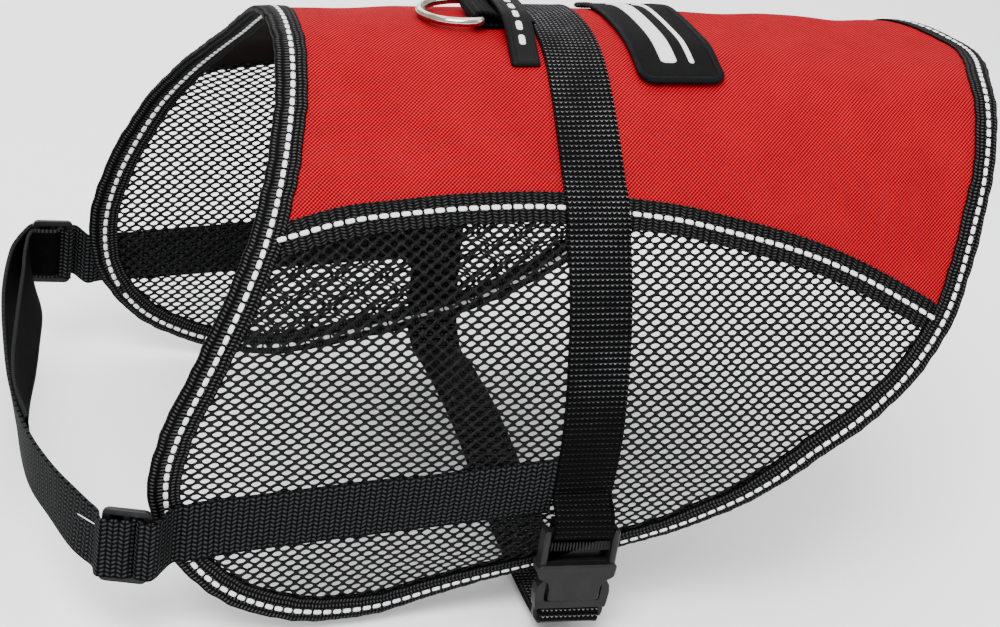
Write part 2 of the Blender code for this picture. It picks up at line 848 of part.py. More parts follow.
def patch_border(material, collection):
    """The badge's overlocked edge, a flat ring of thread."""
    outline = even_points([Vector(p) for p in closed(rounded_box(
        PATCH_LENGTH / 2 - BORDER_WIDTH / 2, PATCH_HALF_GIRTH - BORDER_WIDTH / 2, PATCH_CORNER - 1.0))], 4.6)
    cells = len(outline) - 1

    def place(u, w):
        index = round(u * cells) % cells
        here = outline[index]
        ahead = outline[(index + 1) % cells] - outline[(index - 1) % cells]
        ahead.normalize()
        flat = here + Vector((ahead.y, -ahead.x)) * (w - 0.5) * (BORDER_WIDTH - 0.6)
        return patch_point(flat.x, flat.y, BORDER_THICK / 2)

    obj = sheet("patch_border", (cells, 2), place, BORDER_THICK, material, collection)
    bm = bmesh.new()
    bm.from_mesh(obj.data)
    bmesh.ops.remove_doubles(bm, verts=bm.verts, dist=0.00001)
    bm.to_mesh(obj.data)
    bm.free()
    return obj


def closed(points):
    return points + [points[0]]


def clear_scene():
    for obj in list(bpy.data.objects):
        bpy.data.objects.remove(obj)


def new_collection(name):
    collection = bpy.data.collections.new(name)
    bpy.context.scene.collection.children.link(collection)
    return collection


def build():
    clear_scene()
    vest = new_collection("service_dog_vest")
    cutters = new_collection("cutters")
    red_cloth = make_material("red_cloth", (0.55, 0.012, 0.018), 0.8)
    net = make_material("black_net", (0.012, 0.012, 0.013), 0.75)
    tape = make_material("black_tape", (0.014, 0.014, 0.015), 0.8)
    webbing = make_material("black_webbing", (0.012, 0.012, 0.013), 0.7)
    plastic = make_material("black_plastic", (0.02, 0.02, 0.021), 0.45)
    rubber = make_material("black_rubber", (0.015, 0.015, 0.016), 0.6)
    nickel = make_material("nickel", (0.74, 0.71, 0.66), 0.16, 1.0)
    badge = make_material("badge_cloth", (0.013, 0.013, 0.014), 0.85)
    back_panel(red_cloth, vest)
    net_panel("net_near", NEAR, net, vest)
    net_panel("net_far", FAR, net, vest)
    bindings(tape, vest)
    trim("trim_near", NEAR, tape, vest)
    trim("trim_far", FAR, tape, vest)
    belly_strap(webbing, vest)
    buckle_socket(plastic, vest, cutters)
    buckle_plug(plastic, vest, cutters)
    chest_strap("chest_strap_near", NEAR, webbing, vest)
    chest_strap("chest_strap_far", FAR, webbing, vest)
    chest_loop(webbing, vest)
    slider("slider_near", NEAR, plastic, vest)
    slider("slider_far", FAR, plastic, vest)
    d_ring(nickel, vest)
    ring_webbing(webbing, vest)
    rubber_tag(rubber, vest)
    patch(badge, vest)
    patch_border(badge, vest)


build()
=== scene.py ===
"""Looks of a dog vest: cloth back, net sides, bound edges, webbing, buckle, ring, tag and badge.

The dog faces -X, Z is up and the near side is at -Y. Lengths are in millimetres unless a name says so.
Cloth is laid on one form, which is given by the girth down each side from the spine.
"""
import math
from collections import namedtuple

import bpy
import numpy as np
from mathutils import Matrix, Vector


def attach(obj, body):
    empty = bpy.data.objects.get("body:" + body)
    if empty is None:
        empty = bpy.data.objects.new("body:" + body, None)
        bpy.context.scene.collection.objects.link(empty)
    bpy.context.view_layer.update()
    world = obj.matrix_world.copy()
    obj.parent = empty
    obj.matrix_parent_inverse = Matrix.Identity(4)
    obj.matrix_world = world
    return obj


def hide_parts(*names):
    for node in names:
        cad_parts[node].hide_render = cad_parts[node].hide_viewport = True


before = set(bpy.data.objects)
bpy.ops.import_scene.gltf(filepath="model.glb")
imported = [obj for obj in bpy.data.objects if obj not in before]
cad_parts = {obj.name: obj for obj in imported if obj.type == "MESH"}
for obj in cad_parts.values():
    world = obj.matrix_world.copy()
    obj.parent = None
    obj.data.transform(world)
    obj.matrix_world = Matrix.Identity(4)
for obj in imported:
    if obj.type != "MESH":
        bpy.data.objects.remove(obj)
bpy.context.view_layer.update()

MM = 0.001
NEAR = -1
FAR = 1
VEST = "vest"
RING = "ring"

# Stock and layers: thickness, and height of a piece's middle above the inside of the form.
CLOTH = 1.0
CLOTH_MID = 0.9
TAPE = 0.9
TAPE_OUT = 1.95
TAPE_IN = -0.3
WEBBING = 1.3
WEB_OUT = 2.15
WEB_OVER_TAPE = 3.15
WEBBING_WIDTH = 25.0
WEB_ACROSS = (np.linspace(0, 1, 13) - 0.5) * WEBBING_WIDTH

# The form: how far the cloth leans from level, in degrees, at a front and a rear section.
# Rows are (girth, front lean, rear lean).
FRONT_SECTION_X = -180.0
REAR_SECTION_X = 120.0
FORM = [
    (0, 0, 0), (20, 16, 0), (40, 33, 13), (60, 35, 38), (80, 33, 57), (100, 38, 64), (120, 50, 64),
    (140, 66, 62), (160, 81, 62), (180, 90, 67), (200, 93, 79), (220, 92, 99), (240, 87, 126),
    (260, 80, 160), (290, 68, 200),
]
SPINE_CREST_X = 21.0
SPINE_BOW = 3.8
SPINE_BOW_AT = 150.0

# Lines on the form, as (x, girth). The edge binding's middle runs from the neck down one side and
# back up to the rump, and the seam between back and net runs from front to rear.
EDGE_LINE = [
    (-156, 0), (-158, 44), (-165, 84), (-175, 118), (-190, 152), (-203, 184), (-207, 210),
    (-201, 234), (-184, 255), (-155, 269), (-120, 273), (-85, 266), (-50, 258), (-16, 248),
    (21, 230), (57, 203), (93, 174), (117, 142), (131, 96), (142, 43), (152, 15), (155, 0),
]
SEAM_LINE = [
    (-200, 121), (-166, 113), (-145, 108), (-117, 104.5), (-90, 103), (-57, 103), (-12, 107.5),
    (16, 113), (45, 120), (70, 128.5), (95, 140), (130, 158),
]
PANEL_INSET = 3.5
NET_INSET = 1.2
BINDING_REACH = 5.9
TRIM_WIDTH = 12.5
TRIM_UNDER = 3.0
NECK_EXTRA = {NEAR: 1.9, FAR: 2.8}
NECK_EXTRA_X = (110.0, 150.0)
NECK_EXTRA_ENDS = (205.0, 250.0)
CORNER_GIRTH = 240.0
RUMP_GIRTH = 150.0

# Soft troughs (negative) and ridges (positive) of the cloth: middle, way it runs, half sizes and height.
Fold = namedtuple("Fold", "x girth turn_deg half_length half_width height")
FOLDS = [
    Fold(-128, 62, 78, 38, 13, -1.2), Fold(-104, 58, 70, 30, 10, 0.8),
    Fold(-146, 96, 40, 26, 8, 0.9), Fold(52, 62, 62, 46, 15, -1.5), Fold(78, 74, 55, 40, 12, 1.1),
    Fold(104, 58, 74, 42, 11, -1.2), Fold(70, 112, 28, 34, 9, -1.0), Fold(128, 92, 82, 30, 7, 0.7),
    Fold(30, 26, 12, 36, 10, 0.6), Fold(-150, 160, 66, 40, 12, -1.6),
    Fold(-118, 182, 58, 36, 14, 1.3), Fold(-90, 150, 20, 44, 13, -1.2),
    Fold(-88, 246, 8, 40, 9, 1.1), Fold(2, 156, 74, 38, 13, 1.4), Fold(34, 174, 52, 42, 12, -1.5),
    Fold(66, 152, 36, 30, 10, 1.0), Fold(-8, 218, 16, 34, 10, -1.0),
]
# On the far side the same folds lie a little further back and are a little weaker.
FAR_FOLD_SHIFT = 9.0
FAR_FOLD_SHARE = 0.8
FOLD_GAIN = 1.4


def fold_height(x, s):
    """How far the cloth's folds lift it off the form."""
    total = np.zeros(np.broadcast(x, s).shape)
    for side in (NEAR, FAR):
        shift = FAR_FOLD_SHIFT if side == FAR else 0.0
        share = FOLD_GAIN * (FAR_FOLD_SHARE if side == FAR else 1.0)
        for fold in FOLDS:
            turn = math.radians(fold.turn_deg)
            dx = x - fold.x - shift
            ds = side * s - fold.girth
            along = dx * math.cos(turn) + ds * math.sin(turn)
            across = ds * math.cos(turn) - dx * math.sin(turn)
            shape = np.exp(-(along / fold.half_length) ** 2 - (across / fold.half_width) ** 2)
            total += fold.height * share * shape
    return total


GIRTHS = np.arange(0.0, 291.0)
STATIONS = np.arange(-290.0, 191.0, 4.0)


def form_tables():
    """Lean, half width and height of the form at each station along the spine and each girth."""
    rows = np.array(FORM, float)
    front = np.interp(GIRTHS, rows[:, 0], rows[:, 1])
    rear = np.interp(GIRTHS, rows[:, 0], rows[:, 2])
    share = (STATIONS - FRONT_SECTION_X) / (REAR_SECTION_X - FRONT_SECTION_X)
    lean = np.radians(front + share[:, None] * (rear - front))
    start = np.zeros((len(STATIONS), 1))
    width = np.cumsum((np.cos(lean[:, 1:]) + np.cos(lean[:, :-1])) / 2, axis=1)
    drop = np.cumsum((np.sin(lean[:, 1:]) + np.sin(lean[:, :-1])) / 2, axis=1)
    return lean, np.hstack([start, width]), -np.hstack([start, drop])


LEAN, HALF_WIDTH, HEIGHT = form_tables()


def between(table, x, girth):
    """A table's value between its stations and girths."""
    row = np.clip((x - STATIONS[0]) / (STATIONS[1] - STATIONS[0]), 0, len(STATIONS) - 1.001)
    column = np.clip(girth, 0, len(GIRTHS) - 1.001)
    i, j = row.astype(int), column.astype(int)
    u, v = row - i, column - j
    near_row = table[i, j] * (1 - v) + table[i, j + 1] * v
    next_row = table[i + 1, j] * (1 - v) + table[i + 1, j + 1] * v
    return near_row * (1 - u) + next_row * u


def form(x, s, out=0.0, folded=True):
    """Points on the form: s is the girth, negative on the near side, and out the height over it."""
    x, s, out = np.broadcast_arrays(np.asarray(x, float), np.asarray(s, float), np.asarray(out, float))
    girth = np.abs(s)
    side = np.where(s < 0, -1.0, 1.0)
    lean = between(LEAN, x, girth)
    out = out + (fold_height(x, s) if folded else 0.0)
    bow = SPINE_BOW * ((x - SPINE_CREST_X) / SPINE_BOW_AT) ** 2
    y = side * (between(HALF_WIDTH, x, girth) + out * np.sin(lean))
    z = between(HEIGHT, x, girth) + out * np.cos(lean) - bow
    return np.stack([x, y, z], axis=-1)


def spline(points, step, around=False, mirrored_ends=False):
    """Even points, step apart, along a Catmull-Rom curve. Points may be rows of any shape."""
    points = np.asarray(points, float)
    if around:
        ends = np.concatenate([points[-1:], points, points[:2]])
    elif mirrored_ends:
        flip = np.array([1.0, -1.0])
        ends = np.concatenate([points[1:2] * flip, points, points[-2:-1] * flip])
    else:
        ends = np.concatenate([2 * points[:1] - points[1:2], points, 2 * points[-1:] - points[-2:-1]])
    fine = []
    for a, b, c, d in zip(ends, ends[1:], ends[2:], ends[3:]):
        for t in np.arange(12) / 12:
            fine.append(0.5 * (2 * b + (c - a) * t + (2 * a - 5 * b + 4 * c - d) * t * t
                               + (3 * b - a - 3 * c + d) * t ** 3))
    fine.append(ends[-2])
    return even(np.array(fine), step)


def walked(line):
    """Distance along a line to each of its points."""
    return np.concatenate([[0.0], np.cumsum(np.linalg.norm(np.diff(line, axis=0), axis=1))])


def even(points, step):
    """The same line, or band of rows, with its points an even distance apart."""
    lengths = walked(points if points.ndim == 2 else points.mean(axis=1))
    wanted = np.linspace(0.0, lengths[-1], max(2, round(lengths[-1] / step)) + 1)
    flat = points.reshape(len(points), -1)
    columns = [np.interp(wanted, lengths, column) for column in flat.T]
    return np.stack(columns, axis=-1).reshape((len(wanted),) + points.shape[1:])


def normals_2d(line, around=False):
    """Unit vectors to the left of a plane line's direction."""
    if around:
        ahead = np.roll(line, -1, axis=0) - np.roll(line, 1, axis=0)
    else:
        ahead = np.gradient(line, axis=0)
    ahead /= np.linalg.norm(ahead, axis=1, keepdims=True)
    return np.stack([-ahead[:, 1], ahead[:, 0]], axis=-1)


EDGE_POINTS = spline(EDGE_LINE, 1.5, mirrored_ends=True)
PANEL_EDGE = EDGE_POINTS + normals_2d(EDGE_POINTS) * PANEL_INSET
NET_EDGE = EDGE_POINTS + normals_2d(EDGE_POINTS) * NET_INSET
SEAM_POINTS = spline(SEAM_LINE, 3.0)


def seam_girth(x):
    """Girth of the seam between back and net."""
    return np.interp(x, SEAM_POINTS[:, 0], SEAM_POINTS[:, 1])


def inside(outline, points):
    """Which points lie inside a closed outline."""
    x, y = points[..., 0], points[..., 1]
    found = np.zeros(x.shape, bool)
    for (ax, ay), (bx, by) in zip(outline, np.roll(outline, -1, axis=0)):
        if ay == by:
            continue
        crosses = (ay > y) != (by > y)
        found ^= crosses & (x < ax + (bx - ax) * (y - ay) / (by - ay))
    return found


def add_mesh(name, vertices, faces, material, uvs=None, smooth=True):
    """A mesh object from points in mm. uvs are one pair for each vertex, in mm."""
    mesh = bpy.data.meshes.new(name)
    mesh.from_pydata((np.asarray(vertices, float) * MM).tolist(), [], [tuple(map(int, f)) for f in faces])
    mesh.update()
    if uvs is not None:
        layer = mesh.uv_layers.new(name="UVMap")
        corners = np.empty(len(mesh.loops), int)
        mesh.loops.foreach_get("vertex_index", corners)
        layer.data.foreach_set("uv", np.asarray(uvs, float)[corners].ravel())
    mesh.polygons.foreach_set("use_smooth", [smooth] * len(mesh.polygons))
    obj = bpy.data.objects.new(name, mesh)
    mesh.materials.append(material)
    bpy.context.scene.collection.objects.link(obj)
    return obj


def grid_faces(rows, columns):
    faces = []
    for i in range(rows - 1):
        for j in range(columns - 1):
            corner = i * columns + j
            faces.append((corner, corner + columns, corner + columns + 1, corner + 1))
    return faces


def ring_faces(rings, sides):
    """Faces of a closed tube, from rings of points."""
    faces = []
    for a in range(rings):
        here, ahead = a * sides, (a + 1) % rings * sides
        for b in range(sides):
            n = (b + 1) % sides
            faces.append((here + b, ahead + b, ahead + n, here + n))
    return faces


def band_uvs(points, across):
    """UV in mm: u along the band's middle and v across it."""
    return np.stack(np.meshgrid(walked(points.mean(axis=1)), across, indexing="ij"), axis=-1)


def shell(name, points, uvs, thickness, material):
    """A thin closed shell round a grid of points."""
    faces = grid_faces(*points.shape[:2])
    obj = add_mesh(name, points.reshape(-1, 3), faces, material, uvs.reshape(-1, 2))
    solid = obj.modifiers.new("thickness", "SOLIDIFY")
    solid.thickness = thickness * MM
    solid.offset = 0.0
    return obj


def surface_normals(points):
    """Unit normals of a grid of points."""
    n = np.cross(np.gradient(points, axis=0), np.gradient(points, axis=1))
    return n / np.maximum(np.linalg.norm(n, axis=-1, keepdims=True), 1e-9)


class Shader:
    """One material's node tree, with short calls for the nodes that the looks below are made of."""

    def __init__(self, name, color, roughness, specular=0.5, metallic=0.0):
        self.material = bpy.data.materials.new(name)
        self.material.use_nodes = True
        self.tree = self.material.node_tree
        self.principled = self.tree.nodes["Principled BSDF"]
        self.put(self.principled, {"Base Color": (*color, 1.0), "Roughness": roughness,
                                   "Specular IOR Level": specular, "Metallic": metallic})
        self.material.diffuse_color = (*color, 1.0)

    def put(self, node, inputs):
        """Sets a node's inputs, each to a plain value or to another node's output."""
        for socket, value in inputs.items():
            if isinstance(value, bpy.types.NodeSocket):
                self.tree.links.new(value, node.inputs[socket])
            else:
                node.inputs[socket].default_value = value

    def node(self, kind, inputs, **settings):
        node = self.tree.nodes.new(kind)
        for key, value in settings.items():
            setattr(node, key, value)
        self.put(node, inputs)
        return node

    def calc(self, operation, *values):
        return self.node("ShaderNodeMath", dict(enumerate(values)), operation=operation).outputs[0]

    def plus(self, a, b):
        return self.calc("ADD", a, b)

    def times(self, a, b):
        return self.calc("MULTIPLY", a, b)

    def scaled(self, value, by, shift):
        """value times by, plus shift."""
        return self.calc("MULTIPLY_ADD", value, by, shift)

    def uv(self):
        """The two UV coordinates, in mm."""
        split = self.node("ShaderNodeSeparateXYZ", {0: self.node("ShaderNodeTexCoord", {}).outputs["UV"]})
        return split.outputs[0], split.outputs[1]

    def wave(self, coordinate, period, shift=0.0):
        """A sine of a coordinate in mm, from -1 to 1."""
        return self.calc("SINE", self.scaled(coordinate, 2 * math.pi / period, shift))

    def noise(self, scale_per_mm, detail=3.0):
        """Fine noise in object space, about 0.5."""
        place = self.node("ShaderNodeTexCoord", {}).outputs["Object"]
        inputs = {"Vector": place, "Scale": scale_per_mm / MM, "Detail": detail, "Roughness": 0.6}
        return self.node("ShaderNodeTexNoise", inputs).outputs["Fac"]

    def ramp(self, factor, stops):
        """Colours the surface by a ramp of (place, colour) stops."""
        ramp = self.node("ShaderNodeValToRGB", {0: factor})
        elements = ramp.color_ramp.elements
        for element, (place, color) in zip(elements, (stops[0], stops[-1])):
            element.position = place
            element.color = (*color, 1.0)
        for place, color in stops[1:-1]:
            elements.new(place).color = (*color, 1.0)
        self.put(self.principled, {"Base Color": ramp.outputs["Color"]})

    def rough(self, factor, low, high):
        """Maps 0..1 to a roughness of low..high."""
        self.put(self.principled, {"Roughness": self.scaled(factor, high - low, low)})

    def bump(self, height, depth):
        """Bump from a height of 0..1 that stands for a depth in mm."""
        bump = self.node("ShaderNodeBump", {"Strength": 1.0, "Distance": depth * MM, "Height": height})
        self.put(self.principled, {"Normal": bump.outputs[0]})

    def surface(self, height, stops, depth):
        """Colour and bump from one height. Gives back the material."""
        self.ramp(height, stops)
        self.bump(height, depth)
        return self.material


# Sizes of the weaves, in mm, and the darkest tones of black cloth.
WEAVE = 1.6
WEFT_ROW = 2.2
WEFT_DOT = 1.95
CHAIN_PITCH = 4.3
YARN_PITCH = 1.85
JET = (0.0004, 0.0004, 0.0005)
INK = (0.0005, 0.0005, 0.0006)


def red_cloth():
    """Coarse plain-woven polyester."""
    look = Shader("red_oxford", (0.3, 0.002, 0.006), 0.72, 0.03)
    u, v = look.uv()
    rising = look.wave(look.calc("SUBTRACT", u, v), WEAVE)
    falling = look.wave(look.plus(u, v), WEAVE)
    over = look.scaled(rising, 0.64, look.times(falling, 0.36))
    yarn = look.times(look.wave(u, WEAVE / 4), 0.05)
    cloudy = look.scaled(look.noise(0.05, detail=2.0), 0.16, look.times(look.noise(1.1), 0.3))
    height = look.plus(look.scaled(over, 0.5, 0.3), look.plus(yarn, cloudy))
    look.rough(look.noise(0.3), 0.6, 0.85)
    dark, middle, bright = (0.03, 0.0, 0.001), (0.18, 0.001, 0.005), (0.48, 0.006, 0.014)
    return look.surface(height, [(0.05, dark), (0.5, middle), (1.0, bright)], 0.2)


def painted_shade_inside():
    """Inside of the back: the weave in near-black, painted shade over the red cloth, with a few red flecks.
    """
    look = Shader("painted_shade_inside", (0.004, 0.001, 0.001), 0.6, 0.04)
    u, v = look.uv()
    over = look.times(look.wave(u, WEAVE), look.wave(v, WEAVE))
    height = look.plus(look.scaled(over, 0.4, 0.3), look.times(look.noise(1.4), 0.5))
    # dark and middle are painted shade; fleck is the cloth's own red.
    dark, middle, fleck = (0.0008, 0.0005, 0.0005), (0.002, 0.0008, 0.0008), (0.05, 0.001, 0.002)
    return look.surface(height, [(0.3, dark), (0.8, middle), (1.1, fleck)], 0.12)


def net_yarn():
    look = Shader("net_yarn", (0.004, 0.004, 0.0045), 0.38, 0.06)
    u, v = look.uv()
    twist = look.plus(look.wave(look.plus(u, v), 0.9), look.wave(look.calc("SUBTRACT", u, v), 0.9))
    height = look.scaled(twist, 0.2, look.noise(1.6))
    look.rough(look.noise(0.8), 0.3, 0.6)
    # glint paints highlights on the strands.
    dark, middle, glint = (0.0006, 0.0006, 0.0008), (0.0028, 0.0028, 0.003), (0.06, 0.06, 0.063)
    return look.surface(height, [(0.3, dark), (0.72, middle), (0.95, glint)], 0.14)


def knitted_tape(name, gleam, loop, column, ribs_across=False):
    """Binding and trim: columns of small loops beside the reflective thread."""
    look = Shader(name, (0.004, 0.004, 0.0045), 0.6, 0.03)
    u, v = look.uv()
    if ribs_across:
        u, v = v, u
    slant = look.times(look.calc("PINGPONG", v, column), 0.3)
    loops = look.scaled(look.wave(look.plus(u, slant), loop), 0.5, 0.5)
    columns = look.calc("POWER", look.calc("ABSOLUTE", look.wave(v, column * 2)), 0.7)
    height = look.scaled(look.times(loops, columns), 0.7, look.times(look.noise(1.7), 0.55))
    look.rough(look.noise(0.7), 0.45, 0.8)
    # gleam paints highlights on the loop tops.
    return look.surface(height, [(0.35, JET), (0.62, (0.004, 0.004, 0.0043)), (0.95, (gleam,) * 3)], 0.4)


def rib_webbing():
    """Belly strap: black, with rows of pale flecks on the weft ribs as painted highlights, and painted shade
    near the buckle.
    """
    look = Shader("rib_webbing", (0.004, 0.004, 0.0045), 0.55, 0.03)
    u, v = look.uv()
    flecks = []
    for turn, share in ((0.0, 1.0), (math.pi, 0.16)):
        leaning = look.scaled(look.wave(v, WEFT_DOT), 0.28, u)
        row = look.calc("POWER", look.scaled(look.wave(leaning, WEFT_ROW, turn), 0.5, 0.5), 7.0)
        dots = look.scaled(look.wave(v, WEFT_DOT, turn), 0.33, 0.67)
        flecks.append(look.times(look.times(row, dots), share))
    # Painted shade: flecks are dimmed to half up to 50 mm from the buckle and reach full by 105 mm; noise
    # adds random patches.
    span = {"Value": u, "From Min": 50.0, "From Max": 105.0, "To Min": 0.5, "To Max": 1.0}
    buckle_end_shade = look.node("ShaderNodeMapRange", span, clamp=True, interpolation_type="SMOOTHSTEP")
    painted_shade_and_patches = look.times(buckle_end_shade.outputs[0], look.scaled(look.noise(0.05, detail=2.0), 1.2, 0.5))
    fleck = look.times(look.plus(*flecks), look.scaled(look.noise(0.9), 0.9, 0.3))
    pale = (0.2, 0.2, 0.21)
    look.ramp(look.times(fleck, painted_shade_and_patches), [(0.08, INK), (0.35, (0.012, 0.012, 0.0125)), (0.9, pale)])
    look.bump(look.plus(fleck, look.times(look.noise(1.3), 0.6)), 0.35)
    look.rough(look.noise(0.7), 0.45, 0.75)
    return look.material


def chain_webbing():
    """Chest straps and loose webbing: columns of slanted yarn, two to a pitch, dark between them."""
    look = Shader("chain_webbing", (0.006, 0.006, 0.0065), 0.6, 0.02)
    u, v = look.uv()
    slant = look.times(look.calc("PINGPONG", u, CHAIN_PITCH / 2), 0.5)
    yarn = look.scaled(look.wave(look.plus(v, slant), YARN_PITCH), 0.5, 0.5)
    column = look.calc("POWER", look.calc("ABSOLUTE", look.wave(u, CHAIN_PITCH)), 0.5)
    height = look.times(look.scaled(yarn, 0.75, 0.25), column)
    height = look.plus(height, look.times(look.noise(1.3), 0.3))
    look.rough(look.noise(0.7), 0.5, 0.8)
    # The ramp paints highlights on the yarn tops (bright) and shade in the grooves between columns (JET).
    middle, bright = (0.005, 0.0053, 0.0056), (0.028, 0.029, 0.03)
    return look.surface(height, [(0.25, JET), (0.7, middle), (1.1, bright)], 0.45)


def velvet_webbing():
    """Webbing with a short brushed pile between woven edges."""
    look = Shader("velvet_webbing", (0.001, 0.001, 0.0012), 0.85, 0.02)
    u, v = look.uv()
    pile = look.noise(2.2, detail=4.0)
    selvedge = look.calc("GREATER_THAN", look.calc("ABSOLUTE", v), WEBBING_WIDTH / 2 - 1.3)
    woven = look.scaled(look.wave(u, YARN_PITCH), 0.3, 0.35)
    height = look.scaled(selvedge, woven, pile)
    # bright paints highlights on the woven edges and the pile tips.
    middle, bright = (0.0018, 0.0018, 0.002), (0.022, 0.022, 0.023)
    return look.surface(height, [(0.3, JET), (0.6, middle), (0.95, bright)], 0.3)


def reflective_thread():
    look = Shader("reflective_thread", (0.9, 0.91, 0.93), 0.35, 0.6)
    ply = look.plus(look.wave(look.uv()[1], 0.42), look.noise(1.5))
    return look.surface(ply, [(0.0, (0.66, 0.67, 0.72)), (1.0, (0.95, 0.95, 0.96))], 0.06)


def sewing_thread():
    color = (0.006, 0.006, 0.0065)
    look = Shader("black_thread", color, 0.5, 0.08)
    return look.surface(look.noise(4.0), [(0.3, tuple(c * 0.6 for c in color)), (0.7, color)], 0.05)


def moulded_plastic():
    look = Shader("moulded_plastic", (0.016, 0.016, 0.017), 0.42, 0.2)
    grain = look.noise(3.0, detail=2.0)
    wear = look.noise(0.15, detail=4.0)
    look.ramp(wear, [(0.35, (0.002, 0.002, 0.0023)), (0.7, (0.006, 0.006, 0.0063))])
    look.rough(grain, 0.32, 0.55)
    look.bump(grain, 0.03)
    return look.material


def moulded_rubber():
    look = Shader("moulded_rubber", (0.014, 0.014, 0.015), 0.6, 0.09)
    grain = look.noise(2.5)
    look.rough(grain, 0.5, 0.72)
    return look.surface(grain, [(0.3, (0.001, 0.001, 0.0012)), (0.75, (0.0035, 0.0035, 0.0038))], 0.04)


def plated_wire():
    look = Shader("plated_wire", (0.42, 0.38, 0.33), 0.14, metallic=1.0)
    smear = look.noise(0.25, detail=5.0)
    look.ramp(smear, [(0.3, (0.34, 0.30, 0.25)), (0.7, (0.5, 0.46, 0.4))])
    look.rough(smear, 0.08, 0.24)
    look.bump(look.noise(0.8), 0.02)
    return look.material


def badge_twill():
    look = Shader("badge_twill", (0.011, 0.011, 0.012), 0.7, 0.05)
    twill = look.wave(look.plus(*look.uv()), 0.7)
    height = look.scaled(twill, 0.3, look.noise(1.8))
    middle, bright = (0.002, 0.002, 0.0022), (0.014, 0.014, 0.016)
    return look.surface(height, [(0.25, INK), (0.7, middle), (1.0, bright)], 0.12)


def satin_stitch(name, color, shade, period=0.55):
    """Close parallel threads across u."""
    look = Shader(name, color, 0.5, 0.04)
    threads = look.scaled(look.wave(look.uv()[0], period), 0.4, look.noise(1.2))
    return look.surface(threads, [(0.1, shade), (0.85, color)], 0.15)


def patch_outline(half_x, half_s, radius, step):
    """Even points round a rectangle with round corners, in (x, s)."""
    points = []
    for corner, (sx, ss) in enumerate(((1, 1), (-1, 1), (-1, -1), (1, -1))):
        for angle in np.radians(np.linspace(corner * 90, corner * 90 + 90, 7)):
            points.append((sx * (half_x - radius) + radius * math.cos(angle),
                           ss * (half_s - radius) + radius * math.sin(angle)))
    points.append(points[0])
    return even(np.array(points), step)[:-1]


def area_of(outline):
    """Area in square metres inside a closed outline in mm."""
    x, s = outline[:, 0], outline[:, 1]
    return abs(np.sum(x * np.roll(s, -1) - s * np.roll(x, -1))) / 2 * MM * MM


BACK_LOWEST_GIRTH = 185.0
BACK_STEPS = (84, 66)
BACK_OVERLAP = 1.0


def edge_x(front):
    """Panel edge's x by girth, up to the seam's level, at the front or the rear."""
    line = PANEL_EDGE if front else PANEL_EDGE[::-1]
    part = line[:int(np.argmax(line[:, 1] > BACK_LOWEST_GIRTH))]
    return lambda girth: np.interp(np.abs(girth), part[:, 1], part[:, 0])


def back_panel(material, inside_painted_shade):
    """The cloth over the back, from seam to seam. A few rounds settle x, which the seam's girth needs."""
    front_x, rear_x = edge_x(True), edge_x(False)
    along, down = (np.linspace(low, 1, steps + 1) for low, steps in zip((0, -1), BACK_STEPS))
    share, reach = np.meshgrid(along, down, indexing="ij")
    x = np.zeros_like(share)
    for _ in range(8):
        s = reach * (seam_girth(x) + BACK_OVERLAP)
        x = front_x(s) + (rear_x(s) - front_x(s)) * share
    flat = np.stack([x, s], -1)
    obj = shell("back_cloth", form(x, s, CLOTH_MID), flat, CLOTH, material)
    # The inside faces get the near-black painted shade.
    obj.data.materials.append(inside_painted_shade)
    obj.modifiers["thickness"].material_offset = 1
    return obj, area_of(np.concatenate([flat[:, 0], flat[-1], flat[::-1, -1], flat[0, ::-1]]))


# The net: openings in rows along the vest, every other row shifted by half a cell.
NET_PITCH = 5.65
NET_ROW = 2.32
NET_STRAND = 0.45
NET_UNDER_SEAM = 2.0
NET_UNEVEN = 0.07
NET_CELL = [(2.25, 0), (0.58, 2.32), (0, 2.32), (-0.58, 2.32),
            (-2.25, 0), (-0.58, -2.32), (0, -2.32), (0.58, -2.32)]
NET_HOLE = [(1.95, 0.1), (1.2, 0.78), (0.1, 1.04), (-1.1, 0.6),
            (-1.95, -0.1), (-1.2, -0.78), (-0.1, -1.04), (1.1, -0.6)]


def net_outline(side):
    seam_x = np.linspace(135, -205, 120)
    edge = NET_EDGE[NET_EDGE[:, 1] > seam_girth(NET_EDGE[:, 0]) - NET_UNDER_SEAM]
    first, last = edge[0][0], edge[-1][0]
    seam = [(x, seam_girth(x) - NET_UNDER_SEAM) for x in seam_x if first < x < last]
    return np.concatenate([edge, np.array(seam)]) * np.array([1.0, side])


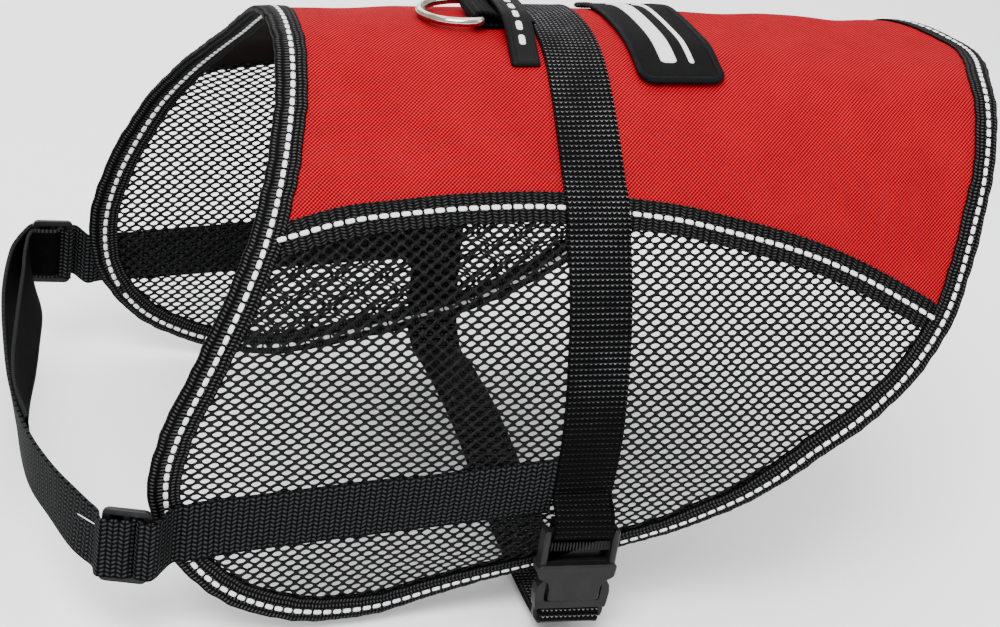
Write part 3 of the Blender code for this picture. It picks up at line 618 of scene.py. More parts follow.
def net_panel(name, side, material):
    """Strands round every opening, rounded above and below."""
    outline = net_outline(side)
    i, j = np.meshgrid(np.arange(-40, 30), np.arange(40, 125), indexing="ij")
    centers = np.stack([(i + 0.5 * (j % 2)) * NET_PITCH, j * NET_ROW * side], -1).reshape(-1, 2)
    centers = centers[inside(outline, centers)]
    cell, hole = np.array(NET_CELL), np.array(NET_HOLE)
    if side == FAR:
        hole = np.roll(hole[::-1], 1, axis=0) * (1, -1)
    index, flat, height, faces = {}, [], [], []

    def vertex(point, out):
        key = (round(point[0] * 20), round(point[1] * 20), out)
        if key not in index:
            index[key] = len(flat)
            flat.append(point)
            height.append(out)
        return index[key]

    used = {}
    for center in centers:
        top = [vertex(center + c, 1) for c in cell]
        low = [vertex(center + c, -1) for c in cell]
        rim = [vertex(center + c, 0) for c in hole]
        for k in range(8):
            n = (k + 1) % 8
            faces.append((top[k], top[n], rim[n], rim[k]))
            faces.append((low[n], low[k], rim[k], rim[n]))
            key = tuple(sorted((top[k], top[n])))
            used.setdefault(key, []).append((top[n], top[k], low[k], low[n]))
    faces += [sides[0] for sides in used.values() if len(sides) == 1]
    if side == NEAR:
        faces = [f[::-1] for f in faces]
    rng = np.random.default_rng(7 + side)
    flat = np.array(flat)
    flat = flat + rng.normal(0, NET_UNEVEN, flat.shape)
    points = form(flat[:, 0], flat[:, 1], CLOTH_MID + np.array(height) * NET_STRAND)
    return add_mesh(name, points, faces, material, flat), area_of(outline)


def edge_ring(step):
    """Points (x, s) of the binding's middle line, all round, from the neck down the near side."""
    half = spline(EDGE_LINE, step, mirrored_ends=True)
    return np.concatenate([half * np.array([1.0, -1.0]), half[::-1][1:-1]])


def binding_section():
    """Rows of (distance towards the edge from the binding's middle line, height of the tape's middle)."""
    leg = [(-BINDING_REACH, 1.75), (-4.6, 1.9), (-3.0, 1.95), (-1.0, 2.0), (0.8, 2.05), (2.3, 2.0)]
    radius = (2.0 - TAPE_IN) / 2
    middle = TAPE_IN + radius
    turn = [(3.0 + radius * 1.2 * math.cos(a), middle + radius * math.sin(a))
            for a in np.radians([78, 50, 22, 0, -22, -50, -78])]
    back = [(2.3, TAPE_IN), (0.8, TAPE_IN - 0.05), (-1.0, TAPE_IN), (-3.0, TAPE_IN + 0.05),
            (-4.6, TAPE_IN + 0.1), (-BINDING_REACH, TAPE_IN + 0.25)]
    return np.array(leg + turn + back)


def binding(name, ring, first, last, material):
    """A stretch of tape folded over the edge, with a slightly uneven line. It reaches further at the neck."""
    count = len(ring)
    section = binding_section()
    outward = -normals_2d(ring, around=True)
    spots = np.arange(first, last + 1)
    here, side = ring[spots % count], outward[spots % count]
    wander = 0.22 * np.sin(spots * 0.9) * np.sin(spots * 0.13) + 0.18 * np.sin(spots * 0.31)
    front = ramp(-here[:, 0], *NECK_EXTRA_X) * (1 - ramp(np.abs(here[:, 1]), *NECK_EXTRA_ENDS))
    extra = front * np.where(here[:, 1] > 0, NECK_EXTRA[FAR], NECK_EXTRA[NEAR])
    over = np.clip((section[:, 0] - 0.8) / 1.5, 0.0, 1.0)
    reach = section[None, :, 0] + extra[:, None] * over[None] + wander[:, None]
    flat = here[:, None] + side[:, None] * reach[..., None]
    tight = 0.12 * np.sin(spots * 2.1)[:, None]
    points = form(flat[..., 0], flat[..., 1], section[None, :, 1] + tight * (section[None, :, 0] > 3.5))
    walk = walked(section)
    uvs = band_uvs(points, walk)
    obj = shell(name, points, uvs, TAPE, material)
    length = float(uvs[-1, 0, 0])
    return obj, (float(walk[-1] + 2 * extra.mean()) * MM, length * MM)


def trim(name, side, material):
    """Tape over the seam between the back and one net side."""
    limits = EDGE_POINTS - normals_2d(EDGE_POINTS) * (BINDING_REACH - TRIM_UNDER)
    limits = np.concatenate([limits, limits[::-1] * np.array([1, -1])])
    x = np.linspace(-178, 116, 150)
    x = x[inside(limits, np.stack([x, seam_girth(x)], -1))]
    line = even(np.stack([x, seam_girth(x)], -1), 1.5)
    across = np.linspace(-TRIM_WIDTH / 2, TRIM_WIDTH / 2, 9)
    flat = line[:, None] + normals_2d(line)[:, None] * across[None, :, None]
    edge_in = 0.25 * (np.abs(across) / (TRIM_WIDTH / 2)) ** 4
    walk = np.linspace(0.0, 1.0, len(line)) * 1.5 * len(line)
    tucked = 0.75 * (1 - ramp(np.minimum(walk, walk[-1] - walk), TRIM_UNDER, TRIM_UNDER + 3.0))
    points = form(flat[..., 0], flat[..., 1] * side, TAPE_OUT - edge_in[None] - tucked[:, None])
    if side == FAR:
        points = points[:, ::-1]
    uvs = band_uvs(points, across)
    return shell(name, points, uvs, TAPE, material), line, float(uvs[-1, 0, 0]) * MM


ROD_STATIONS = [(0.0, 0.55), (0.14, 0.95), (0.5, 1.0), (0.86, 0.95), (1.0, 0.55)]
ROD_RING = [(1, 0), (0.72, 0.72), (0, 1), (-0.72, 0.72), (-1, 0), (-0.72, -0.72), (0, -1), (0.72, -0.72)]


def rods(name, starts, ends, ups, half_width, half_height, material):
    """Many short pillow-shaped bars, joined in one mesh: thread dashes, stitches and ribs."""
    starts, ends, ups = (np.asarray(v, float) for v in (starts, ends, ups))
    ahead = ends - starts
    length = np.linalg.norm(ahead, axis=1, keepdims=True)
    ahead = ahead / length
    side = np.cross(ups, ahead)
    side /= np.linalg.norm(side, axis=1, keepdims=True)
    up = np.cross(ahead, side)
    count, rings, sides = len(starts), len(ROD_STATIONS), len(ROD_RING)
    vertices = np.zeros((count, rings, sides, 3))
    uvs = np.zeros((count, rings, sides, 2))
    for a, (place, size) in enumerate(ROD_STATIONS):
        for b, (w, h) in enumerate(ROD_RING):
            off = side * (w * half_width * size) + up * (h * half_height * size)
            vertices[:, a, b] = starts + ahead * length * place + off
            uvs[:, a, b, 0] = length[:, 0] * place
            uvs[:, a, b, 1] = w * half_width
    faces = []
    for a in range(rings - 1):
        for b in range(sides):
            n = (b + 1) % sides
            faces.append((a * sides + b, a * sides + n, (a + 1) * sides + n, (a + 1) * sides + b))
    faces.append(tuple(range(sides))[::-1])
    faces.append(tuple((rings - 1) * sides + b for b in range(sides)))
    every = [tuple(k * rings * sides + v for v in face) for k in range(count) for face in faces]
    return add_mesh(name, vertices.reshape(-1, 3), every, material, uvs.reshape(-1, 2))


def dashes_on(line, out, pitch, length, first=0.0):
    """Starts, ends and outward directions of dashes along a line of (x, s)."""
    walk = walked(line)
    begin = np.arange(first + 0.5, walk[-1] - length, pitch)
    places = []
    for at in (begin, begin + length / 2, begin + length):
        places.append(np.stack([np.interp(at, walk, line[:, 0]), np.interp(at, walk, line[:, 1])], -1))
    ends = [form(p[:, 0], p[:, 1], out) for p in (places[0], places[2])]
    above = form(places[1][:, 0], places[1][:, 1], out + 1.0) - form(places[1][:, 0], places[1][:, 1], out)
    return ends[0], ends[1], above


# Belly strap, buckle and its bars.
STRAP_X = -40.0
STRAP_LEAVES_GIRTH = 221.0
STRAP_BOW = 2.0
WEB_SETTLES = (7.0, 12.0)
BUCKLE_Y = -129.0
BUCKLE_TOP_Z = -168.5
BAR_LIFT = 2.9
TOP_BAR_V = 2.0
PLUG_BAR_V = 41.4


def ramp(value, start, end):
    """0 before start, 1 after end, and an eased rise between."""
    share = np.clip((value - start) / (end - start), 0.0, 1.0)
    return share * share * (3 - 2 * share)


def web_height(x, s):
    """Height of the middle of sewn webbing: it rises over the trim and over the binding."""
    spot = np.stack([np.asarray(x, float), np.abs(s)], -1)
    from_edge = np.linalg.norm(spot[..., None, :] - EDGE_POINTS[::2], axis=-1).min(axis=-1)
    from_seam = np.abs(np.abs(s) - seam_girth(x))
    over = 1 - ramp(np.minimum(from_edge, from_seam), *WEB_SETTLES)
    return WEB_OUT + (WEB_OVER_TAPE - WEB_OUT) * over


def arc(center, radius, start_deg, end_deg, count):
    """Points along an arc, one more than count."""
    angles = np.radians(np.linspace(start_deg, end_deg, count + 1))
    return [(center[0] + radius * math.cos(a), center[1] + radius * math.sin(a)) for a in angles]


def hem_girth(x):
    """Girth of the vest's lower edge."""
    hem = EDGE_POINTS[(EDGE_POINTS[:, 1] > 175.0) & (EDGE_POINTS[:, 0] > -190.0)]
    return float(np.interp(x, hem[:, 0], hem[:, 1]))


def belly_rows():
    """Rows of points across the belly strap, from behind the buckle over the back and under to the plug."""
    front_y, rear_y = BUCKLE_Y - BAR_LIFT, BUCKLE_Y + BAR_LIFT
    top_z, plug_z = BUCKLE_TOP_Z - TOP_BAR_V, BUCKLE_TOP_Z - PLUG_BAR_V
    start = [(rear_y, top_z + 5.0), (rear_y, top_z + 2.0)]
    start += arc((BUCKLE_Y, top_z), BAR_LIFT, 0, -180, 10)
    start += [(front_y, top_z + 3.0), (front_y + 1.5, top_z + 7.5)]
    under = [(99, -205), (78, -203), (52, -202), (26, -202.3), (0, -204.8), (-26, -208.6), (-50, -211.8),
             (-76, -213.8), (-100, -214.3), (-116, -214)]
    end = arc((BUCKLE_Y, plug_z), BAR_LIFT, -90, -345, 14)
    end += [(rear_y + 0.8, plug_z - 1.0), (rear_y + 3.2, plug_z - 1.8), (rear_y + 8, plug_z - 2.0),
            (rear_y + 22, plug_z - 1.9)]
    x = STRAP_X + WEB_ACROSS

    def free(points):
        return np.array([[(xx, y, z) for xx in x] for y, z in points])

    down = np.arange(STRAP_LEAVES_GIRTH, 0.0, -4.0)
    up = np.arange(0.0, hem_girth(STRAP_X) + 12.0, 4.0)
    s = np.concatenate([-down, up])
    grid_x, grid_s = np.meshgrid(x, s)
    grid_x = grid_x - STRAP_BOW * np.exp(-((grid_s + 62.0) / 42.0) ** 2)
    flat = 0.05 * np.exp(-((grid_s + 120.0) / 60.0) ** 2)
    grid_x = grid_x + (x[None] - STRAP_X) * flat - 1.0 * flat / 0.05
    laid = form(grid_x, grid_s, web_height(grid_x, grid_s))
    return np.concatenate([free(start), laid, free(under + end)])


def webbing(name, rows, thickness, material, step=1.5, rib=None, selvedge=0.18):
    """A band of webbing through rows of points. rib is a (period, height) of ridges across it."""
    points = spline(rows, step)
    normal = surface_normals(points)
    across = np.linspace(-WEBBING_WIDTH / 2, WEBBING_WIDTH / 2, points.shape[1])
    uvs = band_uvs(points, across)
    lift = -selvedge * (np.abs(across) / (WEBBING_WIDTH / 2)) ** 6
    height = np.broadcast_to(lift[None], points.shape[:2]).copy()
    if rib:
        height += rib[1] * np.cos(uvs[..., 0] * 2 * math.pi / rib[0])
    return shell(name, points + normal * height[..., None], uvs, thickness, material), float(uvs[-1, 0, 0])


# Chest straps, sliders and the loose webbing.
CHEST_GIRTH = 216.0
CHEST_DROP = {NEAR: 0.10, FAR: 0.055}
CHEST_END_X = {NEAR: -203.0, FAR: -214.0}
SLIDER_PITCH = 7.4
SLIDER_SLOT = 2.2
LOOP_LIFT = 3.05
WRAP_LIFT = 3.4
SLIDER_ORIGIN = {NEAR: (-221.5, -126.4, -174.5), FAR: (-231.0, 122.0, -165.5)}
SLIDER_TURN_DEG = {NEAR: 14.0, FAR: 0.0}


def in_slider(side, a, b, n):
    """A point from its places along, across and above a slider."""
    turn = math.radians(SLIDER_TURN_DEG[side])
    forward = np.array([-math.cos(turn), -side * math.sin(turn), 0.0])
    outward = np.array([-math.sin(turn), side * math.cos(turn), 0.0])
    return np.array(SLIDER_ORIGIN[side]) + forward * a + np.array([0, 0, 1.0]) * b + outward * n


def chest_rows(side):
    """Rows of a chest strap, from beside the belly strap to where it wraps its slider's bar."""
    start = STRAP_X - WEBBING_WIDTH / 2 - 0.3
    x, offset = np.meshgrid(np.linspace(start, CHEST_END_X[side], 34), WEB_ACROSS, indexing="ij")
    s = side * (CHEST_GIRTH + CHEST_DROP[side] * (start + 0.3 - x) + offset)
    laid = form(x, s, web_height(x, s))
    bar = -SLIDER_PITCH
    places = [(bar - 4.0, WRAP_LIFT - 1.2)] + arc((bar, 0.0), WRAP_LIFT, 100, -90, 12)
    places.append((bar - 2.0, -WRAP_LIFT + 0.2))
    wrap = np.array([[in_slider(side, a, -w, n) for w in WEB_ACROSS] for a, n in places])
    return np.concatenate([laid, wrap])


# The loose webbing's outer run, then its tail, as (x, y, lean in degrees).
CHEST_ROUTE = [
    (-232.0, -120.5, 0), (-238.5, -108.0, -2), (-246.0, -88.0, 4), (-253.2, -62.0, 5),
    (-256.4, -26.0, 11), (-255.9, 20.0, 14), (-252.8, 62.0, 19), (-248.6, 98.0, 14),
    (-245.3, 114.0, 3),
]
INNER_TAIL = [
    (-242.2, 112.0, 5), (-242.4, 96.0, 16), (-243.2, 76.0, 22), (-246.2, 50.0, 23),
    (-249.8, 20.0, 22), (-253.4, -8.0, 18), (-254.6, -32.0, 14), (-252.6, -56.0, 9),
]
TAIL_DROP = 3.0


def loop_rows():
    """Rows of the loose webbing, outer run then tail, and the row where the far slider turns it."""
    ends = (SLIDER_PITCH + SLIDER_SLOT, SLIDER_PITCH - SLIDER_SLOT)
    fold = [(a, LOOP_LIFT) for a in ends] + arc((0.0, 0.0), LOOP_LIFT, 90, 270, 12)
    fold += [(a, -LOOP_LIFT) for a in reversed(ends)]
    near = [in_slider(NEAR, a, 0.0, n) for a, n in reversed(fold)]
    far = [in_slider(FAR, a, 0.0, n) for a, n in fold]
    run, tail = spline(CHEST_ROUTE, 6.0), spline(INNER_TAIL, 6.0)
    near_z, far_z = near[0][2], far[0][2]
    middle = np.column_stack([run[:, :2], np.linspace(near_z, far_z, len(run))])
    back = np.column_stack([tail[:, :2], np.linspace(far_z, far_z - TAIL_DROP, len(tail))])
    route = np.concatenate([near, middle, far, back])
    lean = np.radians(np.concatenate([np.zeros(len(near)), run[:, 2], np.zeros(len(far)), tail[:, 2]]))
    upright = np.stack([-np.sin(lean), 0 * lean, np.cos(lean)], -1)
    rows = route[:, None] + upright[:, None] * WEB_ACROSS[None, :, None]
    return rows, len(near) + len(middle) + len(far) // 2


THREAD_ENDS = ((-112.0, 4.6), (-120.0, 5.6))


def thread_end(rows, material):
    """A pale thread that lies on the loose webbing beside the near slider. THREAD_ENDS are y and height."""
    normal = surface_normals(rows)
    middle = rows.shape[1] // 2
    ends = []
    for y, height in THREAD_ENDS:
        row = int(np.argmin(np.abs(rows[:len(rows) // 2, middle, 1] - y)))
        column = middle + round(height / WEBBING_WIDTH * (rows.shape[1] - 1))
        away = normal[row, column] * (1 if normal[row, column, 0] < 0 else -1)
        ends.append((rows[row, column] + away * (WEBBING / 2 + 0.1), away))
    (start, up), (end, _) = ends
    return rods("thread_end", [start], [end], [up], 0.28, 0.15, material)


def face_out_and_in(obj, outside, inside_face, first_tail_face):
    """Pile on the face towards the dog, before and after the webbing turns back."""
    obj.data.materials.append(outside)
    obj.data.materials.append(inside_face)
    solid = obj.modifiers["thickness"]
    solid.material_offset = 1
    solid.material_offset_rim = 1
    for face in obj.data.polygons[first_tail_face:]:
        face.material_index = 1


# D-ring, its webbing, the tag and the badge.
RING_BAR_X = -76.0
RING_WIRE = 3.8
RING_INSIDE = 26.4
RING_REACH = 24.5
RING_DROOP_DEG = 5.5
RING_CORNER = 3.0
RING_SHOULDER = 5.0
RING_AXIS = np.array([RING_BAR_X, 0.0, 3.711])
TAG_X = -62.5
TAG_WIDTH = 12.0
TAG_HALF_LENGTH = 39.0
TAG_THICK = 2.0
TAG_RIM = 0.55
TAG_RIM_INSET = 1.5
PATCH_X = 2.25
PATCH_LENGTH = 38.0
PATCH_HALF_GIRTH = 50.0
PATCH_INSET = 1.6
ROLL_INSET = 1.7
ROLL_STEP = 0.7


def d_ring(material):
    """A bent wire: straight bar behind, round bow in front."""
    half = (RING_INSIDE + RING_WIRE) / 2
    depth = RING_REACH - RING_WIRE / 2
    path = [(0.0, y) for y in np.linspace(-half + RING_CORNER, half - RING_CORNER, 8)]
    path += arc((-RING_CORNER, half - RING_CORNER), RING_CORNER, 25, 75, 2)
    for angle in np.radians(np.linspace(90, -90, 33)):
        path.append((-RING_SHOULDER - (depth - RING_SHOULDER) * math.cos(angle), half * math.sin(angle)))
    path += arc((-RING_CORNER, RING_CORNER - half), RING_CORNER, -75, -25, 2)
    droop = math.radians(RING_DROOP_DEG)
    path = np.array([(x * math.cos(droop), y, x * math.sin(droop)) for x, y in path])
    center = spline(path, 1.2, around=True)[:-1]
    ahead = np.roll(center, -1, axis=0) - np.roll(center, 1, axis=0)
    ahead /= np.linalg.norm(ahead, axis=1, keepdims=True)
    up = np.array([-math.sin(droop), 0.0, math.cos(droop)])
    side = np.cross(ahead, up)
    turns = np.radians(np.arange(0, 360, 360 / 20))[None, :, None]
    tube = center[:, None] + (side[:, None] * np.cos(turns) + up * np.sin(turns)) * RING_WIRE / 2
    faces = [(a, d, c, b) for a, b, c, d in ring_faces(*tube.shape[:2])]
    return add_mesh("ring_wire", tube.reshape(-1, 3) + RING_AXIS, faces, material)


def ring_rows():
    """Short webbing from under the tag, round the ring's bar and back."""
    lift = RING_WIRE / 2 + 0.3 + WEBBING / 2
    end = STRAP_X - WEBBING_WIDTH / 2 - 0.4
    low, high = RING_AXIS[2] - lift, RING_AXIS[2] + lift
    path = [(end, low + 0.9), (end - 6.0, low + 0.6), (end - 12.0, low + 0.4), (end - 18.0, low)]
    path += arc((RING_AXIS[0], RING_AXIS[2]), lift, -90, -270, 12)
    path += [(end - 18.0, high - 0.6), (end - 14.5, low + 3.4), (end - 10.0, low + 2.3), (end, low + 2.6)]
    return np.array([[(x, y, z) for y in WEB_ACROSS] for x, z in path])


TAG_CREST = 8.95
TAG_FOOT = 1.4 + TAG_THICK / 2


def tag_height(s):
    """Height of the tag's middle: over the ring's webbing on the spine, and on the cloth at its ends."""
    return TAG_CREST + (TAG_FOOT - TAG_CREST) * ramp(np.abs(s), 11.0, 37.5)


def on_tag(x, s):
    """Points in the middle of the tag's thickness, and the outward directions there."""
    base = form(x, s, tag_height(s))
    return base, form(x, s, tag_height(s) + 1.0) - base


def plate_grid(half_x, half_s, radius, steps_x, steps_s):
    """A grid over a rectangle with round corners, in (x, s)."""
    u, w = np.meshgrid(np.linspace(-1, 1, steps_x + 1), np.linspace(-1, 1, steps_s + 1), indexing="ij")
    x, s = u * half_x, w * half_s
    over_x, over_s = np.abs(x) - (half_x - radius), np.abs(s) - (half_s - radius)
    corner = (over_x > 0) & (over_s > 0)
    pull = np.maximum(over_x, over_s) / np.maximum(np.hypot(over_x, over_s), 1e-6)
    x = np.where(corner, np.sign(x) * (half_x - radius + over_x * pull), x)
    s = np.where(corner, np.sign(s) * (half_s - radius + over_s * pull), s)
    return x, s


def tag(material):
    """The rubber bar: a plain field inside a raised rim."""
    x, s = plate_grid(TAG_WIDTH / 2, TAG_HALF_LENGTH, 1.2, 24, 110)
    from_edge = np.minimum(TAG_WIDTH / 2 - np.abs(x), TAG_HALF_LENGTH - np.abs(s))
    rim = TAG_RIM * (1 - ramp(np.abs(from_edge - TAG_RIM_INSET), 0.35, 0.75))
    round_off = -0.5 * (1 - ramp(from_edge, 0.0, 0.7))
    base, above = on_tag(TAG_X + x, s)
    top = base + above * (TAG_THICK / 2 + rim + round_off)[..., None]
    low = base - above * (TAG_THICK / 2 + round_off * 0.6)[..., None]
    return closed_plate("tag_rubber", top, low, np.stack([x, s], -1), material)


def closed_plate(name, top, low, uvs, material):
    """A closed solid between two grids with the same shape."""
    rows, columns = top.shape[:2]
    base = rows * columns
    faces = [f[::-1] for f in grid_faces(rows, columns)]
    faces += [tuple(v + base for v in f) for f in grid_faces(rows, columns)]
    border = [(i, 0) for i in range(rows)] + [(rows - 1, j) for j in range(1, columns)]
    border += [(i, columns - 1) for i in range(rows - 2, -1, -1)]
    border += [(0, j) for j in range(columns - 2, 0, -1)]
    keys = [i * columns + j for i, j in border]
    for a, b in zip(keys, keys[1:] + keys[:1]):
        faces.append((a, b, b + base, a + base))
    vertices = np.concatenate([top.reshape(-1, 3), low.reshape(-1, 3)])
    uv = np.concatenate([uvs.reshape(-1, 2), uvs.reshape(-1, 2)])
    return add_mesh(name, vertices, faces, material, uv)


def on_badge(x, s, out):
    """Points over the badge, which stands a little off the cloth at its ends."""
    lift = 1.8 + 0.9 * ramp(np.abs(s), PATCH_HALF_GIRTH - 14, PATCH_HALF_GIRTH)
    return form(PATCH_X + x, s, lift + out)


def badge_cloth(material):
    x, s = plate_grid(PATCH_LENGTH / 2 - PATCH_INSET, PATCH_HALF_GIRTH - PATCH_INSET, 4.6, 30, 80)
    uvs = np.stack([x, s], -1)
    return closed_plate("badge_cloth", on_badge(x, s, 1.6), on_badge(x, s, 0.3), uvs, material)


def badge_border(material):
    """A round roll of close thread along the badge's edge."""
    outline = patch_outline(PATCH_LENGTH / 2 - ROLL_INSET, PATCH_HALF_GIRTH - ROLL_INSET, 5.0, ROLL_STEP)
    side = -normals_2d(outline, around=True)
    turns = np.radians(np.arange(0, 360, 36))
    beat = 1 + 0.035 * np.cos(np.arange(len(outline)) * math.pi)
    flat = outline[:, None] + side[:, None] * (np.cos(turns) * 1.7)[None, :, None] * beat[:, None, None]
    height = 1.25 + np.sin(turns)[None] * 1.15 * beat[:, None]
    points = on_badge(flat[..., 0], flat[..., 1], height)
    faces = ring_faces(*points.shape[:2])
    around = np.arange(len(outline))[:, None] * ROLL_STEP + 0 * turns[None]
    uvs = np.stack([around, np.broadcast_to(turns[None], around.shape)], -1)
    return add_mesh("badge_border", points.reshape(-1, 3), faces, material, uvs.reshape(-1, 2))


# Plain raised bars: middle (x, s) on the badge, and half sizes.
Bar = namedtuple("Bar", "x s half_x half_s")
BADGE_BARS = [Bar(-3.5, 0, 3.6, 38.0), Bar(6.5, 0, 1.2, 38.0)]


def badge_bars(material):
    pieces = []
    for index, bar in enumerate(BADGE_BARS):
        x, s = plate_grid(bar.half_x, bar.half_s, min(bar.half_x * 0.9, 2.0), 10, 110)
        edge = np.minimum(bar.half_x - np.abs(x), bar.half_s - np.abs(s))
        dome = 0.75 * ramp(edge, -0.2, 1.1)
        x, s = x + bar.x, s + bar.s
        plate = (on_badge(x, s, 1.55 + dome), on_badge(x, s, 1.3), np.stack([s, x], -1))
        pieces.append(closed_plate(f"badge_bar_{index + 1}", *plate, material))
    return pieces


TAG_BARS = 9
TAG_BARS_REACH = 27.0
TAG_BAR_HALF_LENGTH = 2.2


def tag_bars(material):
    """A row of plain short bars moulded on the tag."""
    middle = np.linspace(-TAG_BARS_REACH, TAG_BARS_REACH, TAG_BARS)
    ends = [form(TAG_X, s, tag_height(s) + TAG_THICK / 2)
            for s in (middle - TAG_BAR_HALF_LENGTH, middle + TAG_BAR_HALF_LENGTH)]
    return rods("tag_bars", *ends, on_tag(TAG_X, middle)[1], 1.5, 0.4, material)


def buckle_point(u, v, n):
    """A point on the buckle: across, down from its top, and out from its middle plane."""
    return np.array([STRAP_X + u, BUCKLE_Y - n, BUCKLE_TOP_Z - v])


RIBS = 19
RIB_TOP_V = 6.3
RIB_LOW_V = 10.7
LIP_V = 13.4


def buckle_ribs(material):
    """Fine ribs on the buckle's middle bar, and the lip behind the slot under it."""
    across = np.linspace(-11.9, 11.9, RIBS)
    starts = [buckle_point(u, RIB_TOP_V, 1.2) for u in across]
    ends = [buckle_point(u, RIB_LOW_V, 1.2) for u in across]
    ribs = rods("buckle_ribs", starts, ends, [(0, -1, 0)] * RIBS, 0.44, 0.62, material)
    lip_ends = ([buckle_point(u, LIP_V, -1.9)] for u in (-12.9, 12.9))
    lip = rods("buckle_lip", *lip_ends, [(0, -1, 0)], 2.4, 0.55, material)
    return [ribs, lip]


BEVEL_FROM_DEG = 28
FLAT_WITHIN_DEG = 2


def dress(node, width, material):
    """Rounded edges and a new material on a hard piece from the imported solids."""
    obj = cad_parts[node]
    weld = obj.modifiers.new("weld", "WELD")
    weld.merge_threshold = 0.02 * MM
    flatten = obj.modifiers.new("flatten", "DECIMATE")
    flatten.decimate_type = "DISSOLVE"
    flatten.angle_limit = math.radians(FLAT_WITHIN_DEG)
    edges = obj.modifiers.new("edges", "BEVEL")
    edges.width = width * MM
    edges.segments = 3
    edges.limit_method = "ANGLE"
    edges.angle_limit = math.radians(BEVEL_FROM_DEG)
    edges.harden_normals = False
    if not obj.material_slots:
        obj.data.materials.append(material)
    for entry in obj.material_slots:
        entry.material = material


# Camera: place and direction that the photograph was taken from.
CAMERA_AZIMUTH_DEG = 18.98
CAMERA_ELEVATION_DEG = 24.73
CAMERA_ROLL_DEG = 8.88
CAMERA_DISTANCE = 924.0
CAMERA_TARGET = (-45.5, 0.0, -137.4)
FOCAL_SHARE = 2.0597
SENSOR_MM = 36.0
SHIFT_X = 0.0037
SHIFT_Y = 0.002


def camera():
    a, e, roll = (math.radians(v) for v in (CAMERA_AZIMUTH_DEG, CAMERA_ELEVATION_DEG, CAMERA_ROLL_DEG))
    right = Vector((math.cos(a), -math.sin(a), 0))
    up = Vector((math.sin(a) * math.sin(e), math.cos(a) * math.sin(e), math.cos(e)))
    ahead = Vector((math.sin(a) * math.cos(e), math.cos(a) * math.cos(e), -math.sin(e)))
    x_axis = right * math.cos(roll) + up * math.sin(roll)
    y_axis = up * math.cos(roll) - right * math.sin(roll)
    place = (Vector(CAMERA_TARGET) - ahead * CAMERA_DISTANCE) * MM
    data = bpy.data.cameras.new("camera")
    data.sensor_fit = "HORIZONTAL"
    data.sensor_width = SENSOR_MM
    data.lens = FOCAL_SHARE * SENSOR_MM
    data.shift_x = SHIFT_X
    data.shift_y = SHIFT_Y
    data.clip_start = 0.01
    obj = bpy.data.objects.new("camera", data)
    obj.matrix_world = Matrix.Translation(place) @ Matrix((x_axis, y_axis, -ahead)).transposed().to_4x4()
    bpy.context.scene.collection.objects.link(obj)
    bpy.context.scene.camera = obj


Lamp = namedtuple("Lamp", "name x y z size watts")
LAMPS = [
    Lamp("key", -0.7, -1.1, 1.5, 1.1, 76.0),
    Lamp("fill", 1.3, -1.2, 0.9, 1.2, 14.0),
    Lamp("top", 0.1, 0.3, 1.6, 1.6, 30.0),
    Lamp("back", -0.3, 1.6, 0.8, 1.2, 16.0),
]
LAMP_AIM = Vector((-0.04, 0.0, -0.1))
FLOOR_Z = -0.2215
WORLD_STRENGTH = 0.85
FLOOR_HALF = 6000.0


def studio():
    for lamp in LAMPS:
        data = bpy.data.lights.new(lamp.name, "AREA")
        data.energy = lamp.watts
        data.size = lamp.size
        obj = bpy.data.objects.new(lamp.name, data)
        obj.location = (lamp.x, lamp.y, lamp.z)
        obj.rotation_euler = (LAMP_AIM - obj.location).to_track_quat("-Z", "Y").to_euler()
        bpy.context.scene.collection.objects.link(obj)
    world = bpy.data.worlds.new("studio")
    bpy.context.scene.world = world
    world.use_nodes = True
    background = world.node_tree.nodes["Background"]
    background.inputs["Color"].default_value = (1.0, 1.0, 1.0, 1.0)
    background.inputs["Strength"].default_value = WORLD_STRENGTH
    look = Shader("floor", (0.93, 0.93, 0.93), 0.85)
    look.rough(look.noise(0.02), 0.8, 0.9)
    corners = [(-1, -1), (1, -1), (1, 1), (-1, 1)]
    corners = [(x * FLOOR_HALF, y * FLOOR_HALF, FLOOR_Z / MM) for x, y in corners]
    add_mesh("floor", corners, [(0, 1, 2, 3)], look.material, smooth=False)


def on_vest(obj, slot, *nodes):
    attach(obj, VEST)
    if nodes:
        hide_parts(*nodes)


def sheet_on_vest(obj, slot, node):
    """A piece of cloth that stands for a node."""
    on_vest(obj, slot, node)


# Sizes and heights of the dashes and stitches.
DASH_LENGTH = 3.3
DASH_HALF_WIDTH = 1.0
DASH_HALF_HEIGHT = 0.28
TRIM_PITCH = 4.5
BINDING_PITCH = 4.2
STITCH_PITCH = 3.0
STITCH_LENGTH = 2.3
STITCH_HALF_WIDTH = 0.2
STITCH_HALF_HEIGHT = 0.16
TRIM_STITCHES = 5.2
BINDING_STITCHES = 5.0
BINDING_TOP = 2.02 + TAPE / 2
BINDING_STITCH_TOP = 1.75 + TAPE / 2
BINDING_UNDERSIDE = TAPE_IN - TAPE / 2 - 0.02


def dashes(name, marks, material):
    return rods(name, *marks, DASH_HALF_WIDTH, DASH_HALF_HEIGHT, material)


def stitches(name, row, out, material):
    """Sewing along a line of (x, s)."""
    marks = dashes_on(row, out, STITCH_PITCH, STITCH_LENGTH)
    return rods(name, *marks, STITCH_HALF_WIDTH, STITCH_HALF_HEIGHT, material)


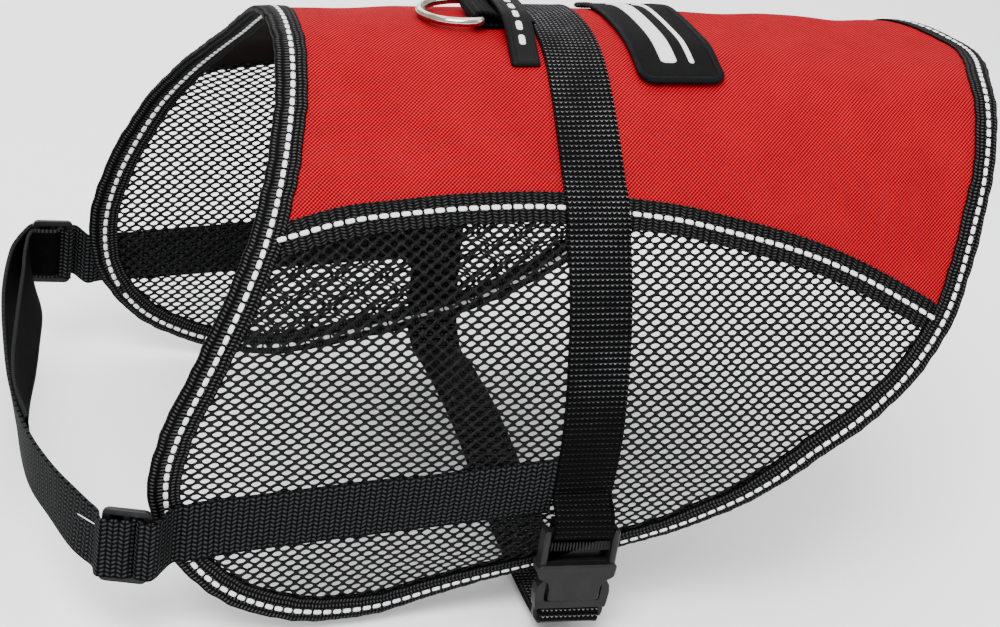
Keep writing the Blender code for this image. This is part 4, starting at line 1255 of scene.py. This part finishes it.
def side_pieces(side, label, yarn, tape, thread, black_thread):
    """One side's net, and the tape over its seam."""
    net, area = net_panel(f"net_mesh_{label}", side, yarn)
    sheet_on_vest(net, "black_net", f"net_{label}")
    strip, line, length = trim(f"trim_tape_{label}", side, tape)
    sheet_on_vest(strip, "black_tape", f"trim_{label}")
    top, mirror = TAPE_OUT + TAPE / 2, np.array([1.0, side])
    marks = dashes_on(line * mirror, top, TRIM_PITCH, DASH_LENGTH + 0.3)
    on_vest(dashes(f"trim_dashes_{label}", marks, thread), "black_tape")
    for edge, offset in (("upper", -TRIM_STITCHES), ("lower", TRIM_STITCHES)):
        row = (line + normals_2d(line) * offset) * mirror
        on_vest(stitches(f"trim_stitches_{label}_{edge}", row, top - 0.08, black_thread), "black_tape")


def bindings(tape, thread, black_thread):
    """The tape round the whole edge, in four stretches."""
    ring = edge_ring(1.5)
    count = len(ring)
    corner = int(np.argmax(EDGE_POINTS[:, 1] > CORNER_GIRTH))
    rump = int(np.max(np.nonzero(EDGE_POINTS[:, 1] > RUMP_GIRTH)))
    for stretch, first, last in (("neck", -corner, corner), ("hem_near", corner, rump),
                                 ("rump", rump, count - rump), ("hem_far", count - rump, count - corner)):
        strip, flat = binding(f"bound_{stretch}", ring, first, last, tape)
        sheet_on_vest(strip, "black_tape", f"binding_{stretch}")
        line = ring[np.arange(first, last + 1) % count]
        outer = dashes_on(line, BINDING_TOP, BINDING_PITCH, DASH_LENGTH)
        inner = dashes_on(line, BINDING_UNDERSIDE, BINDING_PITCH, DASH_LENGTH, first=2.0)
        on_vest(dashes(f"dashes_{stretch}_out", outer, thread), "black_tape")
        on_vest(dashes(f"dashes_{stretch}_in", inner, thread), "black_tape")
        row = line + normals_2d(line) * BINDING_STITCHES
        on_vest(stitches(f"stitches_{stretch}", row, BINDING_STITCH_TOP, black_thread), "black_tape")


def webbing_on_vest(name, node, rows, material, held, **details):
    """A length of webbing that stands for a node."""
    rests_on = details.pop("rests_on", ("back_cloth",))
    band, length = webbing(name, rows, WEBBING, material, **details)
    sheet_on_vest(band, "black_webbing", node)
    return band


def straps(ribbed, chain, velvet, white_thread):
    webbing_on_vest("belly_webbing", "belly_strap", belly_rows(), ribbed, "stretched",
                    step=1.1, rib=(2.2, 0.09))
    for side, label in ((NEAR, "near"), (FAR, "far")):
        webbing_on_vest(f"chest_webbing_{label}", f"chest_strap_{label}", chest_rows(side), chain,
                        "stretched", rib=(2.15, 0.05))
    rows, turn_row = loop_rows()
    loose = webbing_on_vest("loose_webbing", "chest_loop", rows, velvet, "hung",
                            rests_on=("slider_near", "slider_far"))
    face_out_and_in(loose, chain, velvet, len(spline(rows[:turn_row + 1], 1.5)) * (len(WEB_ACROSS) - 1))
    on_vest(thread_end(rows, white_thread), "black_webbing")


def build():
    camera()
    studio()
    yarn, thread, black_thread = net_yarn(), reflective_thread(), sewing_thread()
    ribbed = rib_webbing()
    white_thread = satin_stitch("white_embroidery", (0.86, 0.86, 0.88), (0.5, 0.5, 0.54))
    border = satin_stitch("border_thread", (0.004, 0.0045, 0.006), (0.0004, 0.0004, 0.0006), 0.6)
    plastic, rubber = moulded_plastic(), moulded_rubber()

    back, area = back_panel(red_cloth(), painted_shade_inside())
    sheet_on_vest(back, "red_cloth", "back_panel")
    trim_tape = knitted_tape("trim_tape", 0.036, 1.2, 2.8, ribs_across=True)
    for side, label in ((NEAR, "near"), (FAR, "far")):
        side_pieces(side, label, yarn, trim_tape, thread, black_thread)
    bindings(knitted_tape("binding_tape", 0.05, 1.5, 2.0), thread, black_thread)
    straps(ribbed, chain_webbing(), velvet_webbing(), white_thread)

    wire = d_ring(plated_wire())
    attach(wire, RING)
    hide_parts("d_ring")
    webbing_on_vest("ring_strap", "ring_webbing", ring_rows(), ribbed, "folded",
                    step=1.0, rib=(2.2, 0.07))

    on_vest(tag(rubber), "black_rubber", "rubber_tag")
    on_vest(tag_bars(white_thread), "black_rubber")
    on_vest(badge_cloth(badge_twill()), "badge_cloth", "patch")
    on_vest(badge_border(border), "badge_cloth", "patch_border")
    for bar in badge_bars(white_thread):
        on_vest(bar, "badge_cloth")

    for node, width in (("buckle_socket", 0.35), ("buckle_plug", 0.35),
                        ("slider_near", 0.5), ("slider_far", 0.5)):
        dress(node, width, plastic)
    for piece in buckle_ribs(plastic):
        on_vest(piece, "black_plastic")


build()
bpy.context.view_layer.update()
